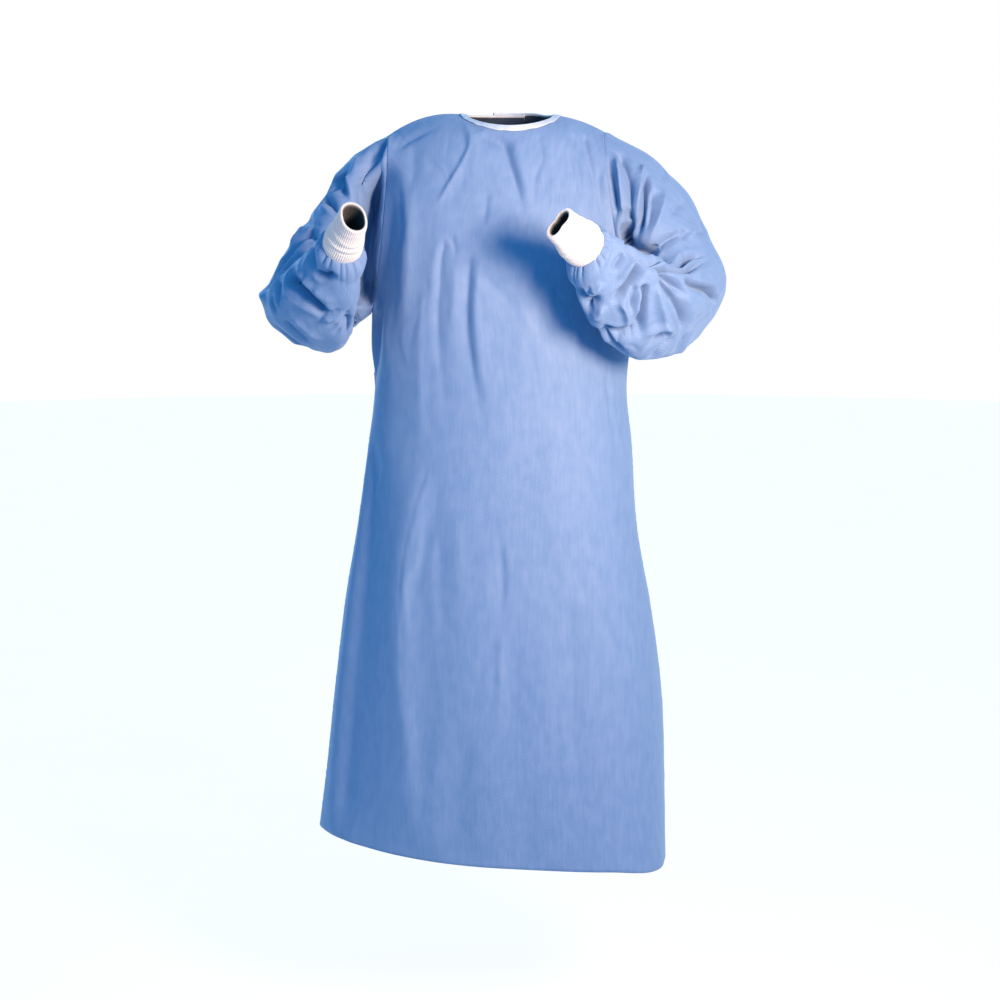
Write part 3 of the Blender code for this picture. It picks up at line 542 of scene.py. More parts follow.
class ShaderGraph(NodeGraph):
    """A material's node tree."""

    def __init__(self, name: str) -> None:
        """Makes an empty material."""
        self.material = bpy.data.materials.new(name)
        self.material.use_nodes = True
        super().__init__(self.material.node_tree)
        self.tree.nodes.clear()

    def uv(self) -> Socket:
        """The cloth's own coordinates, in metres across and down."""
        return self.add("ShaderNodeUVMap", uv_map=CLOTH_UV).outputs[0]

    def object_place(self) -> Socket:
        """Coordinates in the piece's own metres."""
        return self.add("ShaderNodeTexCoord").outputs["Object"]

    def attribute(self, name: str) -> Socket:
        """A number stored on the mesh."""
        return self.add("ShaderNodeAttribute", attribute_name=name).outputs["Fac"]

    def mapped(self, source: Socket, scale: Point, turn: float = 0.0) -> Socket:
        """Coordinates scaled, then turned about their normal, in degrees."""
        changes = {"Vector": source, "Scale": scale, "Rotation": (0.0, 0.0, math.radians(turn))}
        return self.add("ShaderNodeMapping", changes).outputs[0]

    def noise(self, source: Socket, scale: float, detail: float) -> Socket:
        """A noise value at the given coordinates."""
        cloud = self.add("ShaderNodeTexNoise", {"Vector": source, "Scale": scale, "Detail": detail})
        return cloud.outputs["Fac"]

    def dots(self, source: Socket) -> Socket:
        """Distance from the middle of the nearest cell of an even lattice of pitch one."""
        lattice = {"Vector": source, "Scale": 1.0, "Randomness": 0.0}
        return self.add("ShaderNodeTexVoronoi", lattice, voronoi_dimensions="2D").outputs["Distance"]

    def ramp(self, source: Socket, low: float, high: float, to_low: float = 0.0,
             to_high: float = 1.0) -> Socket:
        """A value carried softly from one range into another."""
        ranges = {"Value": source, "From Min": low, "From Max": high, "To Min": to_low, "To Max": to_high}
        return self.add("ShaderNodeMapRange", ranges, interpolation_type="SMOOTHSTEP").outputs[0]

    def mix(self, factor: Socket, *colours: object) -> Socket:
        """A mix of two colours, each given as a socket or as a linear colour."""
        first, second = (colour if isinstance(colour, Socket) else (*colour, 1.0) for colour in colours)
        return self.add("ShaderNodeMix", {0: factor, 6: first, 7: second}, data_type="RGBA").outputs[2]

    def bump(self, height: Socket, distance: float, strength: float) -> Socket:
        """A bumped normal from a height of 0 to 1."""
        relief = {"Height": height, "Distance": distance, "Strength": strength}
        return self.add("ShaderNodeBump", relief).outputs[0]

    def principled(self, **inputs: object) -> Material:
        """Closes the tree with a Principled shader.

        Args:
            inputs: its inputs, named with _ for a space, as sockets or values.

        Returns:
            The finished material.
        """
        shader = self.add("ShaderNodeBsdfPrincipled",
                          {name.replace("_", " "): value for name, value in inputs.items()})
        self.add("ShaderNodeOutputMaterial", {0: shader.outputs[0]})
        return self.material


class GeometryTree(NodeGraph):
    """A Geometry Nodes group with named number inputs, baked on to a piece."""

    def __init__(self, name: str, numbers: Sequence[str]) -> None:
        """Makes the group, its geometry sockets and one number input for each name."""
        super().__init__(bpy.data.node_groups.new(name, "GeometryNodeTree"))
        sockets = self.tree.interface
        sockets.new_socket("Geometry", in_out="INPUT", socket_type="NodeSocketGeometry")
        sockets.new_socket("Geometry", in_out="OUTPUT", socket_type="NodeSocketGeometry")
        for number in numbers:
            sockets.new_socket(number, in_out="INPUT", socket_type="NodeSocketFloat")
        self.start = self.add("NodeGroupInput").outputs

    def attribute(self, name: str) -> Socket:
        """A number stored on the mesh."""
        return self.add("GeometryNodeInputNamedAttribute", {"Name": name}, data_type="FLOAT").outputs[0]

    def close(self, geometry: Socket, material: Material) -> None:
        """Ends the tree: instances made real, the material set."""
        real = self.add("GeometryNodeRealizeInstances", {0: geometry})
        dressed = self.add("GeometryNodeSetMaterial", {0: real.outputs[0], "Material": material})
        self.add("NodeGroupOutput", {0: dressed.outputs[0]})

    def bake(self, piece: Piece, sizes: dict[str, float]) -> None:
        """Runs the tree on a piece and keeps its result as a plain mesh.

        Args:
            piece: the mesh object that the tree starts from.
            sizes: a value for each number input, by its name.
        """
        modifier = piece.modifiers.new(self.tree.name, "NODES")
        modifier.node_group = self.tree
        for item in self.tree.interface.items_tree:
            if item.in_out == "INPUT" and item.name in sizes:
                modifier[item.identifier] = float(sizes[item.name])
        graph = bpy.context.evaluated_depsgraph_get()
        made = bpy.data.meshes.new_from_object(piece.evaluated_get(graph),
                                               preserve_all_data_layers=True, depsgraph=graph)
        piece.modifiers.remove(modifier)
        piece.data = made
        made.name = piece.name
        made.shade_smooth()


# ----- Finishes -----

CLOTH_UV = "cloth"


@dataclass(frozen=True)
class Nonwoven:
    """Spunbonded cloth: cloudy webs of fibre, pressed together at an even lattice of points."""

    name: str = "nonwoven"
    thin: Point = (0.126, 0.222, 0.420)
    thick: Point = (0.184, 0.274, 0.476)
    bonded: Point = (0.082, 0.168, 0.352)
    bond_pitch: float = 0.0030
    bond_turn: float = 38.0
    bond_share: float = 0.55
    streak_pitch: float = 0.0046
    cloud_scale: float = 64.0
    fibre_scale: float = 520.0
    roughness: float = 0.82
    bond_roughness: float = 0.62
    bump_depth: float = 0.00025
    bump_strength: float = 0.60
    sheen: float = 0.26
    sheen_tint: Point = (0.52, 0.74, 1.0)

    def build(self) -> Material:
        """Makes the material."""
        graph = ShaderGraph(self.name)
        cloth = graph.uv()
        clouds = graph.noise(graph.mapped(cloth, (1.0, 0.55, 1.0)), self.cloud_scale, 4.0)
        fibres = graph.noise(graph.mapped(cloth, (1.0, 0.35, 1.0), 12.0), self.fibre_scale, 3.0)
        pitch = 1.0 / self.bond_pitch
        lattice = graph.dots(graph.mapped(cloth, (pitch, pitch * 0.8, pitch), self.bond_turn))
        bonds = graph.ramp(lattice, 0.42, 0.20)
        slant = 1.0 / self.streak_pitch
        streaks = graph.noise(graph.mapped(cloth, (slant, slant * 0.10, slant), self.bond_turn), 1.0, 2.0)
        webs = graph.math("ADD", graph.ramp(clouds, 0.28, 0.72, 0.0, 0.58),
                          graph.ramp(streaks, 0.3, 0.7, 0.0, 0.38))
        colour = graph.mix(webs, self.thin, self.thick)
        colour = graph.mix(graph.math("MULTIPLY", bonds, self.bond_share), colour, self.bonded)
        height = graph.math("SUBTRACT", graph.math("MULTIPLY", fibres, 0.8),
                            graph.math("MULTIPLY", bonds, 0.6))
        return graph.principled(
            Base_Color=colour,
            Roughness=graph.ramp(bonds, 0.0, 1.0, self.roughness, self.bond_roughness),
            Normal=graph.bump(height, self.bump_depth, self.bump_strength),
            Sheen_Weight=self.sheen, Sheen_Roughness=0.6, Sheen_Tint=(*self.sheen_tint, 1.0),
            Specular_IOR_Level=0.6)


@dataclass(frozen=True)
class Knit:
    """White rib knit, with painted shade that greys it between its ribs and darkens it inside.

    Its slight warm glow is painted light that lifts its shaded side; it stands in for the light that a white knit
    scatters within itself.
    """

    name: str = "knit"
    white: Point = (0.64, 0.66, 0.67)
    shade_and_stain_grey: Point = (0.50, 0.52, 0.54)
    # Painted shade: the near-black colour that the inside of the cuff is darkened to.
    inside: Point = (0.012, 0.014, 0.022)
    loop_pitch: float = 0.0011
    roughness: float = 0.88
    bump_depth: float = 0.00025
    sheen: float = 0.20
    # Painted light: a warm glow that lifts the knit's shade, strongest at the outside and gone deep inside.
    painted_glow_colour: Point = (1.0, 0.45, 0.14)
    glow: float = 0.19

    def build(self) -> Material:
        """Makes the material."""
        graph = ShaderGraph(self.name)
        cloth = graph.uv()
        pitch = 1.0 / self.loop_pitch
        loops = graph.dots(graph.mapped(cloth, (pitch, pitch * 1.3, pitch), 0.0))
        fuzz = graph.noise(cloth, 1500.0, 3.0)
        stain = graph.noise(cloth, 55.0, 3.0)
        # Painted shade: greyer in the valleys between the ribs, where shade falls; the stain noise adds random tone.
        painted_rib_shade = graph.ramp(graph.attribute("raised"), 0.1, 0.8, 0.75, 0.0)
        rib_shade_and_stain = graph.math("ADD", painted_rib_shade, graph.ramp(stain, 0.45, 0.8, 0.0, 0.3))
        height = graph.math("ADD", graph.ramp(loops, 0.5, 0.0), graph.math("MULTIPLY", fuzz, 0.5))
        # Painted shade: the inner rings darken towards the inside colour, and the painted glow fades there.
        depth = graph.attribute("depth")
        return graph.principled(
            Base_Color=graph.mix(depth, graph.mix(rib_shade_and_stain, self.white, self.shade_and_stain_grey), self.inside),
            Roughness=self.roughness, Normal=graph.bump(height, self.bump_depth, 0.6),
            Emission_Color=(*self.painted_glow_colour, 1.0),
            Emission_Strength=graph.ramp(depth, 0.0, 0.6, self.glow, 0.0),
            Sheen_Weight=self.sheen, Sheen_Roughness=0.5, Specular_IOR_Level=0.25)


@dataclass(frozen=True)
class Tape:
    """Smooth white binding tape with a fine crosswise grain."""

    name: str = "tape"
    white: Point = (0.58, 0.62, 0.70)
    shade: Point = (0.42, 0.48, 0.60)
    grain: float = 0.0009
    roughness: float = 0.62

    def build(self) -> Material:
        """Makes the material."""
        graph = ShaderGraph(self.name)
        cloth = graph.uv()
        pitch = 1.0 / self.grain
        weave = graph.dots(graph.mapped(cloth, (pitch, pitch, pitch), 45.0))
        wear = graph.noise(graph.mapped(cloth, (1.0, 0.4, 1.0)), 90.0, 3.0)
        return graph.principled(
            Base_Color=graph.mix(graph.ramp(wear, 0.42, 0.78, 0.0, 0.7), self.white, self.shade),
            Roughness=self.roughness, Normal=graph.bump(graph.ramp(weave, 0.55, 0.1), 0.00012, 0.5),
            Sheen_Weight=0.15, Specular_IOR_Level=0.35)


@dataclass(frozen=True)
class Thread:
    """Sewing thread with the twist of its plies."""

    name: str
    colour: Point
    shade: Point

    def build(self) -> Material:
        """Makes the material."""
        graph = ShaderGraph(self.name)
        twist = graph.noise(graph.mapped(graph.object_place(), (1.0, 1.0, 1.0), 30.0), 1800.0, 1.0)
        return graph.principled(
            Base_Color=graph.mix(graph.ramp(twist, 0.35, 0.65), self.shade, self.colour),
            Roughness=0.55, Normal=graph.bump(twist, 0.0001, 0.5), Specular_IOR_Level=0.4)


@dataclass(frozen=True)
class Paper:
    """The plain pale floor, softly lit from within like a light table."""

    name: str = "pale_floor"
    low: Point = (0.16, 0.16, 0.16)
    high: Point = (0.18, 0.18, 0.18)
    glow: float = 0.90

    def build(self) -> Material:
        """Makes the material."""
        graph = ShaderGraph(self.name)
        colour = graph.mix(graph.noise(graph.object_place(), 3.0, 2.0), self.low, self.high)
        return graph.principled(Base_Color=colour, Roughness=0.9, Specular_IOR_Level=0.0,
                                Emission_Color=(1.0, 1.0, 1.0, 1.0), Emission_Strength=self.glow)


@dataclass
class Finishes:
    """Every finish of the gown, each built once."""

    nonwoven: Material = field(default_factory=Nonwoven().build)
    # The inner side of the cloth: the same nonwoven, painted far darker as the shade inside the gown.
    inside_painted_shade: Material = field(default_factory=Nonwoven(
        "nonwoven_inside", thin=(0.024, 0.045, 0.100), thick=(0.034, 0.060, 0.125),
        bonded=(0.018, 0.036, 0.084), sheen=0.05).build)
    knit: Material = field(default_factory=Knit().build)
    tape: Material = field(default_factory=Tape().build)
    white_thread: Material = field(
        default_factory=Thread("white_thread", (0.88, 0.89, 0.90), (0.62, 0.66, 0.72)).build)
    blue_thread: Material = field(
        default_factory=Thread("blue_thread", (0.12, 0.30, 0.66), (0.07, 0.20, 0.50)).build)


# ----- Meshes -----


def grid_faces(rows: int, columns: int, closed: bool) -> tuple[Array, list[tuple]]:
    """Corners of every square of a grid.

    Args:
        rows: rows of points.
        columns: columns of points.
        closed: whether the last column joins the first.

    Returns:
        The corners' point numbers, and their (row, column) arrays before going round.
    """
    spans = columns if closed else columns - 1
    row, column = np.meshgrid(np.arange(rows - 1), np.arange(spans), indexing="ij")
    corners = [(row, column), (row, column + 1), (row + 1, column + 1), (row + 1, column)]
    faces = np.stack([r * columns + c % columns for r, c in corners], axis=-1).reshape(-1, 4)
    return faces, corners


def linked(name: str, data: bpy.types.ID) -> Piece:
    """A new object in the scene."""
    thing = bpy.data.objects.new(name, data)
    bpy.context.scene.collection.objects.link(thing)
    return thing


def cloth_piece(name: str, grid: Array, normals: Array, material: Material, thickness: float,
                closed: bool = False, inside: Material | None = None) -> Piece:
    """A thin shell over a grid of points, its cloth coordinates in metres.

    Args:
        name: the piece's name.
        grid: points of the outer side.
        normals: which way is out at each point.
        material: the finish.
        thickness: thickness of the cloth, added inwards.
        closed: whether the grid is a tube.
        inside: the finish of the inner side, where it differs, such as a darker copy with painted shade.

    Returns:
        The new object, linked to the scene.
    """
    rows, columns = grid.shape[:2]
    faces, corners = grid_faces(rows, columns, closed)
    wide = ringed(grid) if closed else grid
    across = lengths_along(wide, 1)
    across = across - across[:, -1:] / 2.0
    down = lengths_along(wide, 0).mean(axis=1, keepdims=True) + np.zeros_like(across)
    cloth = np.stack((across, down), axis=-1)
    loops = np.stack([cloth[r, c] for r, c in corners], axis=-2).reshape(-1, 4, 2)
    points = grid.reshape(-1, 3)
    middle = len(faces) // 2
    first, second, third = (points[faces[middle, corner]] for corner in range(3))
    if np.cross(second - first, third - first) @ normals.reshape(-1, 3)[faces[middle, 0]] < 0.0:
        faces, loops = faces[:, ::-1], loops[:, ::-1]
    mesh = bpy.data.meshes.new(name)
    mesh.from_pydata(points.tolist(), [], faces.tolist())
    layer = mesh.uv_layers.new(name=CLOTH_UV)
    layer.data.foreach_set("uv", loops.astype(np.float32).ravel())
    mesh.shade_smooth()
    mesh.materials.append(material)
    piece = linked(name, mesh)
    if thickness > 0.0:
        wall = piece.modifiers.new("thickness", "SOLIDIFY")
        wall.thickness = thickness
        wall.offset = -1.0
        if inside is not None:
            mesh.materials.append(inside)
            wall.material_offset = 1
    return piece


def store(mesh: bpy.types.Mesh, **values: Array) -> None:
    """Stores named numbers, one for each point of a mesh."""
    for name, numbers in values.items():
        layer = mesh.attributes.new(name, "FLOAT", "POINT")
        layer.data.foreach_set("value", numbers.astype(np.float32).ravel())


def attach(piece: Piece, slot: str, nodes: Sequence[str] = ()) -> Piece:
    """Lets a piece ride on the gown, take its slot and stand for its solids."""
    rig.ride(piece, BODY)
    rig.slot(piece, slot)
    if nodes:
        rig.replaces(piece, *nodes)
    return piece


# ----- Form of the body -----


@dataclass(frozen=True)
class ShoulderSeam:
    """The ends of a shoulder seam and the foot of its armhole, with the bulge of the seams."""

    neck: Point
    tip: Point
    pit: Point
    rise: float
    bow: float


@dataclass(frozen=True)
class FoldTable:
    """Creases of one panel and how its cloth swells."""

    creases: tuple[Crease, ...]
    crumples: tuple[Crumple, ...]
    swells: tuple[Unevenness, ...]


@dataclass
class BodyForm:
    """The body's smooth form: rows of points from the right seam to the left, from neck to hem."""

    columns: int = 168
    back_columns: int = 150
    shoulder_rows: int = 22
    armhole_rows: int = 88
    skirt_rows: int = 150
    samples: int = 140
    relax_rounds: int = 220
    pit_ease: float = 18.0
    tip_ease: float = 16.0
    chest_ease: float = 18.0
    chest_ease_at: float = 34.0
    chest_ease_share: float = 0.6
    seam_pull: float = 0.50
    middle_pull: float = 0.50
    side_seam_y: float = 0.010
    skirt_top: float = -0.327
    skirt_bottom: float = -1.163
    hem_tilt: float = 0.052
    tilt_start: float = -0.45
    corner_start: float = 0.15
    corner_drop: float = 0.009
    rows_per_metre: float = 5.0
    scoop: dict[Face, float] = field(default_factory=lambda: {Face.FRONT: 0.085, Face.BACK: 0.092})
    seams: dict[Side, ShoulderSeam] = field(default_factory=lambda: {
        Side.RIGHT: ShoulderSeam((-0.0685, 0.000, 0.000), (-0.193, 0.005, -0.031),
                                 (-0.2215, 0.010, -0.310), 0.0135, 0.007),
        Side.LEFT: ShoulderSeam((0.0685, 0.000, 0.000), (0.150, 0.005, -0.026),
                                (0.1950, 0.010, -0.315), 0.0050, -0.012)})
    yoke: Table = field(default_factory=lambda: table(
        "row front_y_mm front_z_mm back_y_mm back_z_mm",
        (0, -70, -21.5, 70, 3.5),
        (0.5, -88, -52, 93, -29),
        (1, -104, -85, 116, -61),
        (1.5, -132, -198, 136, -180),
        (2, -137.5, -320, 140, -317)))
    headings: Table = field(default_factory=lambda: table(
        "row inward forward front_down back_down",
        (0.00, 0.00, 1.00, 0.25, 0.02),
        (0.80, 0.15, 0.97, 0.20, 0.10),
        (1.00, 0.62, 0.78, 0.12, 0.10),
        (1.20, 0.90, 0.42, 0.10, 0.08),
        (1.50, 0.88, 0.47, 0.05, 0.05),
        (1.80, 0.60, 0.62, 0.46, 0.46),
        (2.00, 0.03, 0.93, 0.62, 0.62),
        (2.20, 0.00, 0.98, 0.22, 0.22),
        (2.40, 0.00, 1.00, 0.00, 0.00)))
    skirt: Table = field(default_factory=lambda: table(
        "z_mm right_mm left_mm front_mm back_mm right_side right_front left_side left_front",
        (-312, -221.5, 195, -137, 139, 0.5, 0.55, 0.55, 0.55),
        (-370, -222, 192.5, -135, 135, 0.5, 0.55, 0.6, 0.58),
        (-420, -216, 187, -132, 131, 0.5, 0.55, 0.62, 0.6),
        (-516, -226.5, 196, -142, 141, 0.48, 0.58, 0.66, 0.62),
        (-646, -244.5, 205, -158, 158, 0.44, 0.6, 0.72, 0.66),
        (-778, -266.5, 228.5, -172, 172, 0.4, 0.62, 0.76, 0.68),
        (-910, -281.5, 245.5, -184, 184, 0.36, 0.64, 0.8, 0.72),
        (-1043, -296, 250.5, -194, 193, 0.3, 0.66, 0.84, 0.78),
        (-1163, -312, 253, -202, 200, 0.22, 0.68, 0.9, 0.86)))

    @property
    def tip_row(self) -> int:
        """The row at the shoulder points."""
        return self.shoulder_rows

    @property
    def pit_row(self) -> int:
        """The row at the foot of the armholes."""
        return self.shoulder_rows + self.armhole_rows

    def seam_point(self, side: Side, face: Face, row: float) -> Array:
        """A point of the shoulder seam (row 0 to 1) or of the armhole (row 1 to 2)."""
        seam = self.seams[side]
        neck, tip, pit = (np.array(point) for point in (seam.neck, seam.tip, seam.pit))
        if row <= 1.0:
            return neck + (tip - neck) * row + np.array((0.0, 0.0, 4.0 * seam.rise * row * (1.0 - row)))
        turn = math.pi * (row - 1.0)
        bulge = np.array((seam.bow, face.value * self.scoop[face], 0.0))
        return tip + (pit - tip) * (1.0 - math.cos(turn)) / 2.0 + bulge * math.sin(turn)

    def heading(self, side: Side, face: Face, row: float) -> Array:
        """The way in which the cloth leaves the seam at a row."""
        names = ("inward", "forward", "front_down" if face is Face.FRONT else "back_down")
        inward, forward, down = (smooth(self.headings["row"], self.headings[name], row) for name in names)
        return np.array((-side.value * inward, face.value * forward, -down))

    def quarter(self, start: Array, way: Array, start_pull: float, end: Array, end_pull: float) -> Array:
        """One side of a body row: a Bezier arc from the seam to the middle, which it meets level.

        Args:
            start: the seam point.
            way: the heading there.
            start_pull: how far the heading is kept, as a share of the way to the middle.
            end: the middle's point.
            end_pull: how far the arc stays level there.

        Returns:
            A fine line of points.
        """
        reach = end - start
        start_handle = start + way * start_pull * float(np.abs(way) @ np.abs(reach))
        end_handle = end - np.array((reach[0], 0.0, 0.0)) * end_pull
        part = np.linspace(0.0, 1.0, self.samples)[:, None]
        return ((1.0 - part) ** 3 * start + 3.0 * part * (1.0 - part) ** 2 * start_handle
                + 3.0 * part ** 2 * (1.0 - part) * end_handle + part ** 3 * end)

    def yoke_line(self, face: Face, row: float) -> Array:
        """A line of points from seam to seam above the underarm, right to left."""
        name = face.name.lower()
        middle = np.array([0.0] + [smooth(self.yoke["row"], self.yoke[f"{name}_{axis}"], row)
                                   for axis in "yz"])
        halves = [self.quarter(self.seam_point(side, face, row), self.heading(side, face, row),
                               self.seam_pull, middle, self.middle_pull)
                  for side in (Side.RIGHT, Side.LEFT)]
        return np.concatenate((halves[0], halves[1][-2::-1]))

    def skirt_line(self, face: Face, z: float) -> Array:
        """A line of points from side seam to side seam below the underarm, right to left."""
        values = {name: float(smooth(self.skirt["z"], self.skirt[name], z))
                  for name in self.skirt if name != "z"}
        middle = np.array((0.0, values[face.name.lower()], z))
        below = 2.0 + (self.seams[Side.RIGHT].pit[2] - z) * self.rows_per_metre
        halves = []
        for side in (Side.RIGHT, Side.LEFT):
            name = side.name.lower()
            seam = np.array((values[name], self.side_seam_y, z))
            way = self.heading(side, face, min(below, float(self.headings["row"][-1])))
            halves.append(self.quarter(seam, way, values[f"{name}_side"], middle, values[f"{name}_front"]))
        line = np.concatenate((halves[0], halves[1][-2::-1]))
        low = float(ease((z - self.tilt_start) / (self.skirt_bottom - self.tilt_start)))
        corner = ease((line[:, 0] - self.corner_start) / (values["left"] - self.corner_start))
        line[:, 2] -= low * (self.hem_tilt * line[:, 0] + self.corner_drop * corner)
        return line

    def grid(self, face: Face, columns: int) -> Array:
        """The smooth form of the front or the back, rows by columns of points."""
        yoke = np.concatenate((np.linspace(0.0, 1.0, self.shoulder_rows + 1),
                               np.linspace(1.0, 2.0, self.armhole_rows + 1)[1:]))
        skirt = np.linspace(self.skirt_top, self.skirt_bottom, self.skirt_rows)
        lines = [self.yoke_line(face, row) for row in yoke] + [self.skirt_line(face, z) for z in skirt]
        places = np.linspace(0.0, 1.0, columns + 1)
        return self.relaxed(np.array([spread(line, places) for line in lines]))

    def relaxed(self, grid: Array) -> Array:
        """The form with the kinks at the shoulders and under the arms eased, its seams kept in place."""
        eased = grid.copy()
        rows = np.arange(len(grid))
        chest = bell((rows - self.tip_row - self.chest_ease_at) / self.chest_ease)
        weight = (bell((rows - self.pit_row) / self.pit_ease) + bell((rows - self.tip_row) / self.tip_ease)
                  + chest * self.chest_ease_share)
        weight = np.minimum(weight, 1.0)[1:-1, None, None] * 0.5
        for _ in range(self.relax_rounds):
            down = (eased[:-2, 1:-1] + eased[2:, 1:-1]) / 2.0
            across = (eased[1:-1, :-2] + eased[1:-1, 2:]) / 2.0
            eased[1:-1, 1:-1] += weight * (0.7 * down + 0.3 * across - eased[1:-1, 1:-1])
        return eased


def pressed(grid: Array, normals: Array, folds: FoldTable, fade: Array, place_of: Callable[[Place], Place],
            closed: bool) -> Array:
    """Heights of every crease, crumple and swell of a piece.

    Args:
        grid: the smooth cloth.
        normals: its unit normals.
        folds: what is pressed into it.
        fade: how much of it each point takes.
        place_of: turns a crease's place into a (row, column) place on the grid.
        closed: whether the grid is a tube.

    Returns:
        A height along the normal for each point.
    """
    heights = np.zeros(grid.shape[:2])
    for crease in folds.creases:
        places = np.array([place_of(place) for place in crease.route])
        heights += crease.push(grid, normals, crease.line_on(grid, places, closed))
    for crumple in folds.crumples:
        for crease, places in crumple.creases(grid):
            heights += crease.push(grid, normals, crease.line_on(grid, places, closed))
    for swell in folds.swells:
        heights += swell.push(grid)
    return heights * fade


def nearest_place(grid: Array) -> Callable[[Place], Place]:
    """A function that finds the (row, column) of a panel nearest to a given (x, z)."""
    def place_of(place: Place) -> Place:
        gap = (grid[..., 0] - place[0]) ** 2 + (grid[..., 2] - place[1]) ** 2
        row, column = np.unravel_index(gap.argmin(), gap.shape)
        return float(row), float(column)
    return place_of


@dataclass
class Seamwork:
    """What sewing does to the cloth beside a seam: a fine groove with uneven puckers."""

    fade_run: float = 0.020
    groove: float = 0.0011
    groove_width: float = 0.0026
    pucker: float = 0.0011
    pucker_pitch: float = 0.017
    pucker_reach: float = 0.012

    def fade(self, reach: Array) -> Array:
        """How much of a crease is left at a distance from the seam."""
        return ease(reach / self.fade_run)

    def push(self, reach: Array, along: Array) -> Array:
        """Depth of the groove and height of the puckers.

        Args:
            reach: distance from the seam, for each point.
            along: distance along the seam, for each point.

        Returns:
            A height for each point.
        """
        phase = 2.0 * math.pi * along / self.pucker_pitch
        wave = np.sin(phase) * 0.6 + np.sin(1.73 * phase + 0.9) * 0.4
        wave *= 0.45 + 0.55 * np.sin(0.31 * phase + 1.0)
        rise = (reach / self.pucker_reach) * np.exp(1.0 - reach / self.pucker_reach)
        return self.pucker * wave * rise - self.groove * bell(reach / self.groove_width)


# Each crease's row: its route, its depth, its half widths at the start and the end, then as far as
# they aren't usual its lean, sharpness, head and tail.

